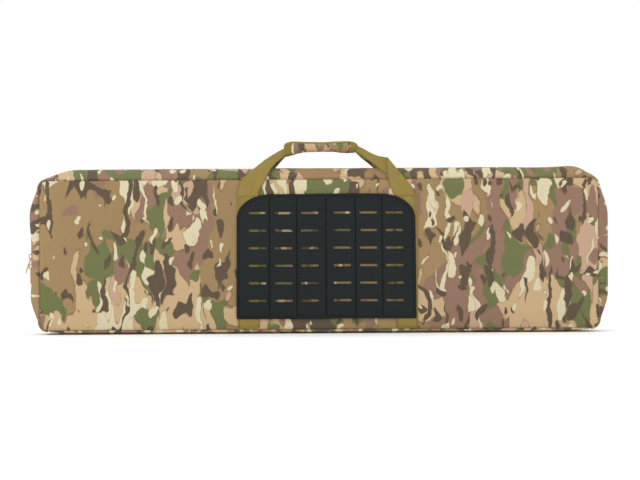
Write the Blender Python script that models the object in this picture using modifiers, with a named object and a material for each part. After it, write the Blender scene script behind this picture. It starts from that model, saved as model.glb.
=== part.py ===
"""Padded gig bag with a zipped lid, an attachment panel and a wrapped carrying handle.

Metres. +X runs along the bag to its right, the front faces -Y, and +Z is up. The origin is the middle
of the bottom wall, which the bag stands on.
"""

import math

import bmesh
import bpy
from mathutils import Matrix, Vector

# Whole bag
BAG_LENGTH = 0.840
BAG_HEIGHT = 0.240
BAG_DEPTH = 0.064
GAP = 0.0003  # clearance kept between pieces that touch

# Front and back panels, inside the outline of the bulging side wall
SIDE_BULGE = 0.014
TOP_BULGE = 0.016
BOTTOM_BULGE = 0.006
PANEL_RADIUS = 0.012
COVER_THICKNESS = 0.001
FOAM_THICKNESS = 0.008
LINING_THICKNESS = 0.001
FOAM_INSET = 0.004

# Side wall
WALL_THICKNESS = 0.0025
WALL_ROWS = (0.0290, 0.0262, 0.0225, 0.0185)  # |y| of the rows between the seam and the flat middle
WALL_FLAT_HALF = 0.014  # half the width of the wall's flat middle
CORNER_BULGE_SHARE = 0.3  # share of a side's bulge that is left at its corners
CORNER_DIP = 0.0015
BULGE_RUN = 0.045  # length over which the bulge grows from a corner
BOTTOM_WALL_GAP = 0.0005  # between the bottom wall's ends and the zipped wall
SEAM_SHARE = 0.01  # half of a wall seam's gap, as a share of a corner's arc

# Zip
TAPE_INNER = 0.0022
TAPE_OUTER = 0.0059
TAPE_THICKNESS = 0.0006
TAPE_SUNK = 0.0006  # how far the tape lies below the wall's outer face
COIL_INNER = 0.0007
COIL_OUTER = 0.0019
COIL_THICKNESS = 0.0016
COIL_SUNK = 0.0001
END_HALF_WIDTH = 0.0019  # half the width of the stops and end tabs, which fit between the tapes
STOP_HEIGHT = 0.0038
STOP_EDGE = 0.0003  # width of the stops' bevels
END_TAB_TOP = 0.022
CHAIN_START = END_TAB_TOP + STOP_HEIGHT + 2 * GAP

# Zip sliders and pulls, on the left end
SLIDER_LENGTH = 0.011
SLIDER_HALF_WIDTH = 0.0045
PLATE_THICKNESS = 0.0014
PLATE_EDGE = 0.0004  # width of the plates' bevels
PLATE_GAP = 0.0004  # between a plate and the coils
NECK_HALF_WIDTH = 0.0004
NECK_LENGTH = 0.0066
BAIL_OUTER = (0.0046, 0.0048)  # depth, half length
BAIL_WIRE = 0.0014
BAIL_WIDTH = 0.002
UPPER_SLIDER_HEIGHT = 0.1135
LOWER_SLIDER_HEIGHT = 0.0990
PIVOT_BELOW_SLIDER = 0.0019
PIVOT_OUT = 0.0013
PULL_LENGTH = 0.0235
PULL_WIDTH = 0.006
PULL_THICKNESS = 0.001
PULL_EYE_END = 0.0062
PULL_EYE_WIDTH = 0.0032
PULL_BAR = 0.00055  # from the pivot to either side of the bar above the eye
PULL_CORNER = 0.0018
PULL_HOLE_RADIUS = 0.0013
PULL_HOLE_SPAN = (0.0034, 0.0080)  # the hole's ends, from the pull's lower end
UPPER_PULL_TILT = math.radians(18.5)

# Webbing
STRAP_WIDTH = 0.032
STRAP_THICKNESS = 0.0016
STRAP_TOP = 0.2015
LEFT_STRAP_X = -0.1024
RIGHT_STRAP_X = 0.1275

# Attachment panel
FIELD_CENTRE_X = 0.0105
FIELD_WIDTH = 0.260
FIELD_BOTTOM = 0.022
FIELD_TOP = 0.202
FIELD_THICKNESS = 0.0012
FIELD_CORNER = (0.050, 0.035)  # width and height of its rounded top corners
SLOT_WIDTH = 0.0254
SLOT_HEIGHT = 0.0033
SLOT_PITCH_Z = 0.0254
SLOT_LOWEST_Z = 0.0480
SLOT_PITCH_X = 0.0382
SLOT_MIDDLE_HALF = 0.0236  # from the panel's middle to the nearest slot's middle
COLUMNS_PER_SIDE = 3
ROWS = 6

# Handle
HANDLE_ROOT_Z = 0.2045
GRIP_LEFT_X = -0.0505
GRIP_RIGHT_X = 0.0583
GRIP_BOTTOM = 0.264
GRIP_TOP = 0.280
GRIP_FRONT_Y = -0.008
GRIP_BACK_Y = 0.0075
GRIP_WALL = 0.0018
GRIP_RADIUS = 0.0042
BAND_LENGTH = 0.011
FOLDED_THICKNESS = 0.003
LEAD_IN = 0.006  # length of folded strap that stands straight out of each end of the grip
LEAD_DROP = 0.001
PADDING_EDGE = 0.001  # width of the grip padding's bevels
FRONT_FOLD_Y = -0.0042
REAR_FOLD_Y = 0.0059
FRONT_FOLD_HEIGHT = 0.009
REAR_FOLD_HEIGHT = 0.0084

# Worked-out sizes
PANEL_HALF = BAG_LENGTH / 2 - SIDE_BULGE
PANEL_LOW = BOTTOM_BULGE
PANEL_HIGH = BAG_HEIGHT - TOP_BULGE
FACE_Y = BAG_DEPTH / 2
SEAM_Y = FACE_Y - COVER_THICKNESS - GAP
FOAM_Y = SEAM_Y - FOAM_THICKNESS / 2
LINING_Y = SEAM_Y - FOAM_THICKNESS - GAP - LINING_THICKNESS / 2
STRAP_Y = FACE_Y + GAP + STRAP_THICKNESS / 2
FIELD_Y = FACE_Y + 2 * GAP + STRAP_THICKNESS + FIELD_THICKNESS / 2
WALL_X = BAG_LENGTH / 2
GRIP_MIDDLE_X = (GRIP_LEFT_X + GRIP_RIGHT_X) / 2
GRIP_MIDDLE_Z = (GRIP_BOTTOM + GRIP_TOP) / 2
HINGE_Z = PANEL_LOW
HINGE_Y = -(FACE_Y - COVER_THICKNESS / 2)

# Colours (linear) and surface values of each material: colour, roughness, metallic
FINISHES = {
    "camo_fabric": ((0.33, 0.25, 0.12), 0.85, 0.0),
    "padding": ((0.12, 0.12, 0.12), 0.95, 0.0),
    "lining_fabric": ((0.05, 0.05, 0.045), 0.8, 0.0),
    "tan_webbing": ((0.30, 0.22, 0.07), 0.75, 0.0),
    "black_laminate": ((0.022, 0.028, 0.028), 0.7, 0.0),
    "zip_tape": ((0.42, 0.30, 0.14), 0.85, 0.0),
    "zip_coil": ((0.34, 0.24, 0.10), 0.45, 0.0),
    "antique_brass": ((0.38, 0.21, 0.06), 0.35, 1.0),
}


def clear_scene():
    """Remove whatever the file holds before the bag is made."""
    for old in list(bpy.data.objects):
        bpy.data.objects.remove(old, do_unlink=True)


def new_collection(name):
    """A fresh collection linked to the scene."""
    group = bpy.data.collections.new(name)
    bpy.context.scene.collection.children.link(group)
    return group


def finish_of(obj, finish):
    """Give an object its own Principled material."""
    colour, roughness, metallic = FINISHES[finish]
    material = bpy.data.materials.new(f"{obj.name}_{finish}")
    material.use_nodes = True
    shader = material.node_tree.nodes["Principled BSDF"]
    shader.inputs["Base Color"].default_value = (*colour, 1.0)
    shader.inputs["Roughness"].default_value = roughness
    shader.inputs["Metallic"].default_value = metallic
    obj.data.materials.append(material)


def add_object(name, data, finish, group):
    """Link a new object that shows the given data."""
    obj = bpy.data.objects.new(name, data)
    group.objects.link(obj)
    if finish:
        finish_of(obj, finish)
    return obj


def quarter_arc(centre, radius, start, steps=6):
    """Points of a quarter circle, turning clockwise from the angle start."""
    points = []
    for i in range(steps + 1):
        angle = start - math.pi / 2 * i / steps
        points.append((centre[0] + radius * math.cos(angle), centre[1] + radius * math.sin(angle)))
    return points


def rounded_outline(left, right, low, high, top_radius, bottom_radius):
    """Clockwise outline of a rectangle with rounded corners; a zero radius leaves a square corner."""
    points = []
    corners = [
        (left, high, 1, -1, top_radius, math.pi),
        (right, high, -1, -1, top_radius, math.pi / 2),
        (right, low, -1, 1, bottom_radius, 0.0),
        (left, low, 1, 1, bottom_radius, -math.pi / 2),
    ]
    for x, z, inward_x, inward_z, radius, start in corners:
        if radius:
            points += quarter_arc((x + inward_x * radius, z + inward_z * radius), radius, start)
        else:
            points.append((x, z))
    return points


def flat_sheet(name, outlines, thickness, finish, group):
    """A flat filled curve: the first outline is the edge and the others are holes."""
    curve = bpy.data.curves.new(name, "CURVE")
    curve.dimensions = "2D"
    curve.fill_mode = "BOTH"
    curve.extrude = thickness / 2
    for outline in outlines:
        spline = curve.splines.new("POLY")
        spline.points.add(len(outline) - 1)
        for point, (a, b) in zip(spline.points, outline):
            point.co = (a, b, 0.0, 1.0)
        spline.use_cyclic_u = True
    return add_object(name, curve, finish, group)


def upright_sheet(name, outlines, y, thickness, finish, group):
    """A flat sheet that stands in an XZ plane, its middle at y."""
    sheet = flat_sheet(name, outlines, thickness, finish, group)
    sheet.rotation_euler = (math.pi / 2, 0.0, 0.0)
    sheet.location = (0.0, y, 0.0)
    return sheet


def side_bulge(full, distance):
    """Bulge of a side at a distance from its corner's arc."""
    share = math.sin(math.pi / 2 * min(distance / BULGE_RUN, 1.0))
    return full * (CORNER_BULGE_SHARE + (1.0 - CORNER_BULGE_SHARE) * share)


def straight_stations(start, end, full_bulge, normal, skip_start=0.0, skip_end=0.0):
    """Stations along one straight side of the panel, closer together near its corners.

    Each station is (x, z, outward x, outward z, bulge). start and end are where the corners' arcs end, and
    skip_start and skip_end are lengths left out next to them.
    """
    ax, az = start
    bx, bz = end
    length = math.hypot(bx - ax, bz - az)
    low = skip_start
    high = length - skip_end
    distances = {low, high}
    for step in range(6):
        mark = BULGE_RUN * step / 5
        distances.update(d for d in (mark, length - mark) if low + 0.002 < d < high - 0.002)
    stations = []
    for distance in sorted(distances):
        t = distance / length
        bulge = side_bulge(full_bulge, min(distance, length - distance))
        stations.append((ax + (bx - ax) * t, az + (bz - az) * t, normal[0], normal[1], bulge))
    return stations


def corner_stations(centre, start, before, after, first=0.0, last=1.0, steps=5):
    """Stations round one corner between two sides whose bulges are before and after.

    first and last are shares of the corner's arc. The arc's own ends are left to the straight sides.
    """
    stations = []
    for i in range(steps + 1):
        t = first + (last - first) * i / steps
        if t in (0.0, 1.0):
            continue
        angle = start - math.pi / 2 * t
        cosine, sine = math.cos(angle), math.sin(angle)
        bulge = CORNER_BULGE_SHARE * (before + (after - before) * t) - CORNER_DIP * math.sin(math.pi * t)
        x = centre[0] + PANEL_RADIUS * cosine
        z = centre[1] + PANEL_RADIUS * sine
        stations.append((x, z, cosine, sine, bulge))
    return stations


# Where the corners' arcs end: the straight sides run between these x and z values
ARC_X = PANEL_HALF - PANEL_RADIUS
ARC_LOW = PANEL_LOW + PANEL_RADIUS
ARC_HIGH = PANEL_HIGH - PANEL_RADIUS


def end_stations(side, upwards, low=ARC_LOW, high=ARC_HIGH):
    """Stations up or down one end of the bag between two heights; side is -1 for the left end."""
    x = side * PANEL_HALF
    skips = (low - ARC_LOW, ARC_HIGH - high)
    stations = straight_stations((x, ARC_LOW), (x, ARC_HIGH), SIDE_BULGE, (side, 0), *skips)
    return stations if upwards else stations[::-1]


def bottom_corner(side, upwards):
    """Stations round a bottom corner, from the bottom wall's end to the straight part of the bag's end."""
    foot = (side * ARC_X, PANEL_LOW, 0, -1, CORNER_BULGE_SHARE * BOTTOM_BULGE)
    if side < 0:
        stations = [foot] + corner_stations((-ARC_X, ARC_LOW), -math.pi / 2, BOTTOM_BULGE, SIDE_BULGE)
    else:
        stations = corner_stations((ARC_X, ARC_LOW), 0.0, SIDE_BULGE, BOTTOM_BULGE) + [foot]
    return stations if upwards == (side < 0) else stations[::-1]


def top_corner(side, first=0.0, last=1.0):
    """Stations clockwise round a top corner, between two shares of its arc."""
    if side < 0:
        return corner_stations((-ARC_X, ARC_HIGH), math.pi, SIDE_BULGE, TOP_BULGE, first, last)
    return corner_stations((ARC_X, ARC_HIGH), math.pi / 2, TOP_BULGE, SIDE_BULGE, first, last)


def top_straight():
    """Stations along the straight part of the top, from left to right."""
    return straight_stations((-ARC_X, PANEL_HIGH), (ARC_X, PANEL_HIGH), TOP_BULGE, (0, 1))


def top_stations(low):
    """Stations up the left end from a height, over the top and down the right end to that height."""
    up = end_stations(-1, True, low=low)
    down = end_stations(1, False, low=low)
    return up + top_corner(-1) + top_straight() + top_corner(1) + down


def zipped_stations():
    """Stations all round the bag but for its bottom wall."""
    return bottom_corner(-1, True) + top_stations(ARC_LOW) + bottom_corner(1, False)


def wall_lengths():
    """Stations of the zipped wall's three lengths, which meet in seams half way round the top corners."""
    before = 0.5 - SEAM_SHARE
    after = 0.5 + SEAM_SHARE
    return {
        "left": bottom_corner(-1, True) + end_stations(-1, True) + top_corner(-1, last=before),
        "top": top_corner(-1, first=after) + top_straight() + top_corner(1, last=before),
        "right": top_corner(1, first=after) + end_stations(1, False) + bottom_corner(1, False),
    }


def bottom_stations():
    """Stations along the bottom wall, from right to left."""
    gaps = (BOTTOM_WALL_GAP, BOTTOM_WALL_GAP)
    return straight_stations((ARC_X, PANEL_LOW), (-ARC_X, PANEL_LOW), BOTTOM_BULGE, (0, -1), *gaps)


def end_tab_stations(side):
    """Stations of the tab below the zip at one end, clockwise."""
    if side < 0:
        return bottom_corner(-1, True) + end_stations(-1, True, high=END_TAB_TOP)
    return end_stations(1, False, high=END_TAB_TOP) + bottom_corner(1, False)


def wall_share(y):
    """Share of the bulge that the side wall has at a distance y from the middle of its width."""
    u = max(0.0, (abs(y) - WALL_FLAT_HALF) / (SEAM_Y - WALL_FLAT_HALF))
    return 1.0 - u ** 2.5


def band(name, stations, widths, thickness, sunk, finish, group):
    """A strip lofted along the stations, across the given y values, and thickened inwards."""
    vertices = []
    for y in widths:
        for x, z, normal_x, normal_z, bulge in stations:
            reach = bulge * wall_share(y) - sunk
            vertices.append((x + normal_x * reach, y, z + normal_z * reach))
    count = len(stations)
    faces = []
    for row in range(len(widths) - 1):
        for i in range(count - 1):
            a = row * count + i
            faces.append((a, a + 1, a + 1 + count, a + count))
    mesh = bpy.data.meshes.new(name)
    mesh.from_pydata(vertices, [], faces)
    strip = add_object(name, mesh, finish, group)
    solid = strip.modifiers.new("Solidify", "SOLIDIFY")
    solid.thickness = thickness
    solid.offset = -1.0
    solid.use_even_offset = True
    return strip


def make_panels(side, front, group):
    """Cover, foam and lining of one face; side is -1 for the front and 1 for the back."""
    cover = rounded_outline(-PANEL_HALF, PANEL_HALF, PANEL_LOW, PANEL_HIGH, PANEL_RADIUS, PANEL_RADIUS)
    inner = rounded_outline(
        FOAM_INSET - PANEL_HALF,
        PANEL_HALF - FOAM_INSET,
        PANEL_LOW + FOAM_INSET,
        PANEL_HIGH - FOAM_INSET,
        PANEL_RADIUS - FOAM_INSET,
        PANEL_RADIUS - FOAM_INSET,
    )
    cover_y = side * (FACE_Y - COVER_THICKNESS / 2)
    upright_sheet(f"{front}_cover", [cover], cover_y, COVER_THICKNESS, "camo_fabric", group)
    upright_sheet(f"{front}_foam", [inner], side * FOAM_Y, FOAM_THICKNESS, "padding", group)
    upright_sheet(f"{front}_lining", [inner], side * LINING_Y, LINING_THICKNESS, "lining_fabric", group)


def make_walls(group):
    """Both halves of the zipped side wall, and the bottom wall that joins the two faces."""
    outer = [SEAM_Y, *WALL_ROWS, WALL_FLAT_HALF, TAPE_OUTER + GAP]
    for place, stations in wall_lengths().items():
        front = [-y for y in outer]
        band(f"front_gusset_{place}", stations, front, WALL_THICKNESS, 0.0, "camo_fabric", group)
        band(f"rear_gusset_{place}", stations, outer[::-1], WALL_THICKNESS, 0.0, "camo_fabric", group)
    across = [-y for y in outer[:-1]] + outer[-2::-1]
    band("bottom_gusset", bottom_stations(), across, WALL_THICKNESS, 0.0, "camo_fabric", group)


def make_zip(group):
    """Tapes, coils, and the stops and tabs at the zip's ends."""
    for side, front in ((-1, "front"), (1, "rear")):
        tape_y = sorted((side * TAPE_OUTER, side * TAPE_INNER))
        coil_y = sorted((side * COIL_OUTER, side * COIL_INNER))
        chain = top_stations(CHAIN_START)
        band(f"{front}_zip_tape", zipped_stations(), tape_y, TAPE_THICKNESS, TAPE_SUNK, "zip_tape", group)
        band(f"{front}_zip_coil", chain, coil_y, COIL_THICKNESS, COIL_SUNK, "zip_coil", group)
    stop_z = END_TAB_TOP + GAP + STOP_HEIGHT / 2
    stop_size = (COIL_THICKNESS, 2 * END_HALF_WIDTH, STOP_HEIGHT)
    reach = side_bulge(SIDE_BULGE, stop_z - ARC_LOW) - COIL_THICKNESS / 2
    for side, place in ((-1, "left"), (1, "right")):
        tab_y = (-END_HALF_WIDTH, END_HALF_WIDTH)
        tab = end_tab_stations(side)
        band(f"zip_end_tab_{place}", tab, tab_y, COIL_THICKNESS, COIL_SUNK, "tan_webbing", group)
        stop_centre = (side * (PANEL_HALF + reach), 0.0, stop_z)
        block(f"zip_stop_{place}", stop_size, stop_centre, STOP_EDGE, "antique_brass", group)


def block(name, size, centre, edge, finish, group):
    """A box with softened edges."""
    bpy.ops.mesh.primitive_cube_add(size=1.0)
    obj = bpy.context.object
    obj.name = name
    obj.data.name = name
    obj.data.transform(Matrix.Diagonal((*size, 1.0)))
    obj.location = centre
    for old in list(obj.users_collection):
        old.objects.unlink(obj)
    group.objects.link(obj)
    if finish:
        finish_of(obj, finish)
    if edge:
        bevel = obj.modifiers.new("Bevel", "BEVEL")
        bevel.width = edge
        bevel.segments = 2
    return obj


def make_straps(side, front, group):
    """The two webbing straps sewn up one face."""
    for centre, place in ((LEFT_STRAP_X, "left"), (RIGHT_STRAP_X, "right")):
        half = STRAP_WIDTH / 2
        outline = rounded_outline(centre - half, centre + half, PANEL_LOW, STRAP_TOP, 0.0, 0.0)
        name = f"{front}_strap_{place}"
        upright_sheet(name, [outline], side * STRAP_Y, STRAP_THICKNESS, "tan_webbing", group)


def field_outline(left, right):
    """Clockwise outline of the attachment panel, with elliptical top corners."""
    width, height = FIELD_CORNER
    outline = [(left, FIELD_BOTTOM)]
    for middle, start in ((left + width, math.pi), (right - width, math.pi / 2)):
        for x, z in quarter_arc((0.0, 0.0), 1.0, start, 8):
            outline.append((middle + width * x, FIELD_TOP - height + height * z))
    outline.append((right, FIELD_BOTTOM))
    return outline


def make_field(group):
    """The attachment panel, with its columns and rows of slots."""
    left = FIELD_CENTRE_X - FIELD_WIDTH / 2
    right = FIELD_CENTRE_X + FIELD_WIDTH / 2
    outlines = [field_outline(left, right)]
    for column in range(COLUMNS_PER_SIDE):
        for side in (-1, 1):
            x = FIELD_CENTRE_X + side * (SLOT_MIDDLE_HALF + column * SLOT_PITCH_X)
            for row in range(ROWS):
                z = SLOT_LOWEST_Z + row * SLOT_PITCH_Z
                low = z - SLOT_HEIGHT / 2
                high = z + SLOT_HEIGHT / 2
                outlines.append(rounded_outline(x - SLOT_WIDTH / 2, x + SLOT_WIDTH / 2, low, high, 0.0, 0.0))
    upright_sheet("attachment_panel", outlines, -FIELD_Y, FIELD_THICKNESS, "black_laminate", group)


def strap_route(side, fold_y, fold_height):
    """Stations along one handle strap: outer edge (x, z), inner edge (x, z), y and thickness.

    The strap stands up from its left sewn end, leans in over the bag while it folds in two, runs through
    the grip and comes down again to its right sewn end.
    """
    flat = STRAP_THICKNESS
    folded = FOLDED_THICKNESS
    half = STRAP_WIDTH / 2
    low = GRIP_MIDDLE_Z - fold_height / 2
    high = GRIP_MIDDLE_Z + fold_height / 2
    root = side * STRAP_Y
    left = LEFT_STRAP_X
    right = RIGHT_STRAP_X
    left_lead = (GRIP_LEFT_X - LEAD_IN, high - LEAD_DROP)
    right_lead = (GRIP_RIGHT_X + LEAD_IN, high - LEAD_DROP)
    return [
        ((left - half, HANDLE_ROOT_Z), (left + half, HANDLE_ROOT_Z), root, flat),
        ((-0.1125, 0.2200), (-0.0830, 0.2130), root, flat),
        ((-0.1020, 0.2310), (-0.0768, 0.2260), root, flat),
        ((-0.0890, 0.2425), (-0.0720, 0.2370), side * 0.0272, 1.1 * flat),
        ((-0.0740, 0.2535), (-0.0665, 0.2470), side * 0.0185, 1.4 * flat),
        ((-0.0630, 0.2640), (-0.0605, 0.2560), side * 0.0110, folded),
        (left_lead, (left_lead[0], left_lead[1] - fold_height), fold_y, folded),
        ((GRIP_LEFT_X, high), (GRIP_LEFT_X, low), fold_y, folded),
        ((GRIP_MIDDLE_X, high), (GRIP_MIDDLE_X, low), fold_y, folded),
        ((GRIP_RIGHT_X, high), (GRIP_RIGHT_X, low), fold_y, folded),
        (right_lead, (right_lead[0], right_lead[1] - fold_height), fold_y, folded),
        ((0.0770, 0.2650), (0.0770, 0.2570), side * 0.0115, folded),
        ((0.0985, 0.2535), (0.0915, 0.2465), side * 0.0190, 1.4 * flat),
        ((0.1115, 0.2410), (0.0985, 0.2375), side * 0.0272, 1.1 * flat),
        ((0.1225, 0.2285), (0.1000, 0.2275), root, flat),
        ((0.1340, 0.2155), (0.1030, 0.2150), root, flat),
        ((right + half, HANDLE_ROOT_Z), (right - half, HANDLE_ROOT_Z), root, flat),
    ]


def ribbon(name, route, finish, group):
    """A strap lofted along a route of edge pairs."""
    outer = [Vector((edge[0], y, edge[1])) for edge, _, y, _ in route]
    inner = [Vector((edge[0], y, edge[1])) for _, edge, y, _ in route]
    middles = [(a + b) / 2 for a, b in zip(outer, inner)]
    vertices = []
    for i, (_, _, _, thickness) in enumerate(route):
        before = middles[max(i - 1, 0)]
        after = middles[min(i + 1, len(route) - 1)]
        along = (after - before).normalized()
        across = (outer[i] - inner[i]).normalized()
        normal = along.cross(across).normalized() * thickness / 2
        vertices += [outer[i] + normal, inner[i] + normal, inner[i] - normal, outer[i] - normal]
    faces = [(3, 2, 1, 0)]
    for i in range(len(route) - 1):
        for k in range(4):
            a = 4 * i + k
            b = 4 * i + (k + 1) % 4
            faces.append((a, b, b + 4, a + 4))
    last = 4 * (len(route) - 1)
    faces.append((last, last + 1, last + 2, last + 3))
    mesh = bpy.data.meshes.new(name)
    mesh.from_pydata([tuple(v) for v in vertices], [], faces)
    return add_object(name, mesh, finish, group)


def grip_outline():
    """Section of the grip: a channel open to the back, with its front edges rounded."""
    low = GRIP_BOTTOM
    high = GRIP_TOP
    inner_low = low + GRIP_WALL
    inner_high = high - GRIP_WALL
    front = GRIP_FRONT_Y
    back = GRIP_BACK_Y
    inner_radius = GRIP_RADIUS - GRIP_WALL
    arc_y = front + GRIP_RADIUS
    down = -math.pi / 2
    outer_bottom = quarter_arc((arc_y, low + GRIP_RADIUS), GRIP_RADIUS, down, 5)
    outer_top = quarter_arc((arc_y, high - GRIP_RADIUS), GRIP_RADIUS, math.pi, 5)
    inner_bottom = quarter_arc((arc_y, inner_low + inner_radius), inner_radius, down, 4)
    inner_top = quarter_arc((arc_y, inner_high - inner_radius), inner_radius, math.pi, 4)
    points = [(back, low)] + outer_bottom + outer_top + [(back, high), (back, inner_high)]
    points += inner_top[::-1] + inner_bottom[::-1] + [(back, inner_low)]
    return points


def grip_length(name, left, right, finish, group):
    """One length of the grip's channel, between two x values."""
    piece = flat_sheet(name, [grip_outline()], right - left, finish, group)
    piece.rotation_euler = (math.pi / 2, 0.0, math.pi / 2)
    piece.location = ((left + right) / 2, 0.0, 0.0)
    return piece


def make_handles(group):
    """Both handle straps and the wrapped grip, hinged at the straps' sewn ends."""
    front_route = strap_route(-1, FRONT_FOLD_Y, FRONT_FOLD_HEIGHT)
    rear_route = strap_route(1, REAR_FOLD_Y, REAR_FOLD_HEIGHT)
    front = ribbon("front_handle_strap", front_route, "tan_webbing", group)
    rear = ribbon("rear_handle_strap", rear_route, "tan_webbing", group)
    left_join = GRIP_LEFT_X + BAND_LENGTH
    right_join = GRIP_RIGHT_X - BAND_LENGTH
    pieces = [
        front,
        grip_length("grip_band_left", GRIP_LEFT_X, left_join, "tan_webbing", group),
        grip_length("grip_wrap", left_join + GAP, right_join - GAP, "camo_fabric", group),
        grip_length("grip_band_right", right_join, GRIP_RIGHT_X, "tan_webbing", group),
    ]
    pad_front = FRONT_FOLD_Y + FOLDED_THICKNESS / 2 + GAP
    pad_back = REAR_FOLD_Y - FOLDED_THICKNESS / 2 - GAP
    pad_size = (right_join - left_join, pad_back - pad_front, FRONT_FOLD_HEIGHT)
    pad_centre = ((left_join + right_join) / 2, (pad_front + pad_back) / 2, GRIP_MIDDLE_Z)
    pieces.append(block("grip_padding", pad_size, pad_centre, PADDING_EDGE, "padding", group))
    lean = hang_on_axis("front_handle_axis", (GRIP_MIDDLE_X, -STRAP_Y, HANDLE_ROOT_Z), pieces, group)
    hang_on_axis("rear_handle_axis", (GRIP_MIDDLE_X, STRAP_Y, HANDLE_ROOT_Z), [rear], group)
    return lean


def hang_on_axis(name, point, pieces, group):
    """Parent pieces to an empty that stands on their joint's axis, without moving them."""
    axis = bpy.data.objects.new(name, None)
    axis.location = point
    axis.empty_display_size = 0.02
    group.objects.link(axis)
    for piece in pieces:
        piece.parent = axis
        piece.location = piece.location - Vector(point)
    return axis


def bail_outline():
    """Half ring of the slider's bail, standing out from the plate, in (outward, along) pairs."""
    depth, half = BAIL_OUTER
    steps = 10
    outer = []
    inner = []
    for i in range(steps + 1):
        angle = -math.pi / 2 + math.pi * i / steps
        outer.append((depth * math.cos(angle), half * math.sin(angle)))
        inner.append(((depth - BAIL_WIRE) * math.cos(angle), (half - BAIL_WIRE) * math.sin(angle)))
    root = -PLATE_THICKNESS / 2
    outer = [(root, -half)] + outer + [(root, half)]
    inner = [(root, -half + BAIL_WIRE)] + inner + [(root, half - BAIL_WIRE)]
    return outer + inner[::-1]


def union(target, tools):
    """Join solids into the target with Boolean modifiers."""
    for tool in tools:
        join = target.modifiers.new(tool.name, "BOOLEAN")
        join.operation = "UNION"
        join.solver = "EXACT"
        join.object = tool
        tool.hide_render = True
        tool.display_type = "WIRE"


def to_mesh(obj, group):
    """Turn a curve object into a mesh object in the same place, with its caps welded."""
    bpy.context.view_layer.update()
    graph = bpy.context.evaluated_depsgraph_get()
    mesh = bpy.data.meshes.new_from_object(obj.evaluated_get(graph))
    welded = bmesh.new()
    welded.from_mesh(mesh)
    bmesh.ops.remove_doubles(welded, verts=welded.verts, dist=1e-6)
    bmesh.ops.recalc_face_normals(welded, faces=welded.faces)
    welded.to_mesh(mesh)
    welded.free()
    name = obj.name
    matrix = obj.matrix_world.copy()
    bpy.data.objects.remove(obj, do_unlink=True)
    solid = bpy.data.objects.new(name, mesh)
    solid.matrix_world = matrix
    group.objects.link(solid)
    return solid


def make_slider(name, height, group, cutters):
    """A slider body of two plates and a neck, with a bail on the outer plate."""
    chain_out = WALL_X - COIL_SUNK
    chain_in = chain_out - COIL_THICKNESS
    outer_x = -(chain_out + PLATE_GAP + PLATE_THICKNESS / 2)
    inner_x = -(chain_in - PLATE_GAP - PLATE_THICKNESS / 2)
    plate_size = (PLATE_THICKNESS, 2 * SLIDER_HALF_WIDTH, SLIDER_LENGTH)
    body = block(name, plate_size, (outer_x, 0.0, height), PLATE_EDGE, "antique_brass", group)
    inner = block(f"{name}_inner_plate", plate_size, (inner_x, 0.0, height), PLATE_EDGE, None, cutters)
    neck_depth = abs(outer_x - inner_x)
    neck_centre = ((outer_x + inner_x) / 2, 0.0, height)
    neck_size = (neck_depth, 2 * NECK_HALF_WIDTH, NECK_LENGTH)
    neck = block(f"{name}_neck", neck_size, neck_centre, 0.0, None, cutters)
    arch = flat_sheet(f"{name}_bail", [bail_outline()], BAIL_WIDTH, None, cutters)
    arch.rotation_euler = (math.pi / 2, 0.0, math.pi)
    arch.location = (outer_x - PLATE_THICKNESS / 2, 0.0, height)
    arch = to_mesh(arch, cutters)
    union(body, [inner, neck, arch])
    return body


def pull_pivot(height):
    """The point that a pull swings on, inside the lower end of its slider's bail."""
    plate_out = WALL_X - COIL_SUNK + PLATE_GAP + PLATE_THICKNESS
    return (-(plate_out + PIVOT_OUT), 0.0, height - PIVOT_BELOW_SLIDER)


def make_pull(name, height, tilt, group):
    """A flat tab with an eye, hanging from its slider's bail; it swings about Y."""
    half = PULL_WIDTH / 2
    radius = PULL_HOLE_RADIUS
    hole_low, hole_high = (end - PULL_LENGTH for end in PULL_HOLE_SPAN)
    outline = rounded_outline(-half, half, -PULL_LENGTH, PULL_BAR, 0.0, PULL_CORNER)
    eye = rounded_outline(-PULL_EYE_WIDTH / 2, PULL_EYE_WIDTH / 2, -PULL_EYE_END, -PULL_BAR, 0.0, 0.0)
    hole = rounded_outline(-radius, radius, hole_low, hole_high, radius, radius)
    tab = flat_sheet(name, [outline, eye, hole], PULL_THICKNESS, "antique_brass", group)
    axis = bpy.data.objects.new(f"{name}_axis", None)
    axis.location = pull_pivot(height)
    axis.rotation_euler = (0.0, tilt, 0.0)
    axis.empty_display_size = 0.005
    group.objects.link(axis)
    tab.parent = axis
    tab.rotation_euler = (math.pi / 2, 0.0, math.pi / 2)
    return tab


def build():
    """Make the whole bag."""
    clear_scene()
    bag = new_collection("padded_gig_bag")
    cutters = new_collection("joined_shapes")
    make_panels(1, "back", bag)
    make_panels(-1, "front", bag)
    make_walls(bag)
    make_zip(bag)
    make_straps(1, "back", bag)
    make_straps(-1, "front", bag)
    make_field(bag)
    lid = [piece for piece in bag.objects if piece.name.startswith("front_")]
    lid.append(bag.objects["attachment_panel"])
    lid.append(make_handles(bag))
    hang_on_axis("lid_axis", (0.0, HINGE_Y, HINGE_Z), lid, bag)
    make_slider("upper_slider", UPPER_SLIDER_HEIGHT, bag, cutters)
    make_slider("lower_slider", LOWER_SLIDER_HEIGHT, bag, cutters)
    make_pull("upper_pull", UPPER_SLIDER_HEIGHT, UPPER_PULL_TILT, bag)
    make_pull("lower_pull", LOWER_SLIDER_HEIGHT, 0.0, bag)


build()
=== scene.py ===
"""Looks of the padded gig bag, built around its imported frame.

Metres, in the frame of the CAD: +X runs along the bag, the front faces -Y and +Z is up.
"""

import math

import bmesh
import bpy
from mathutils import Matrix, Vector, noise
from mathutils.bvhtree import BVHTree


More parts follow.
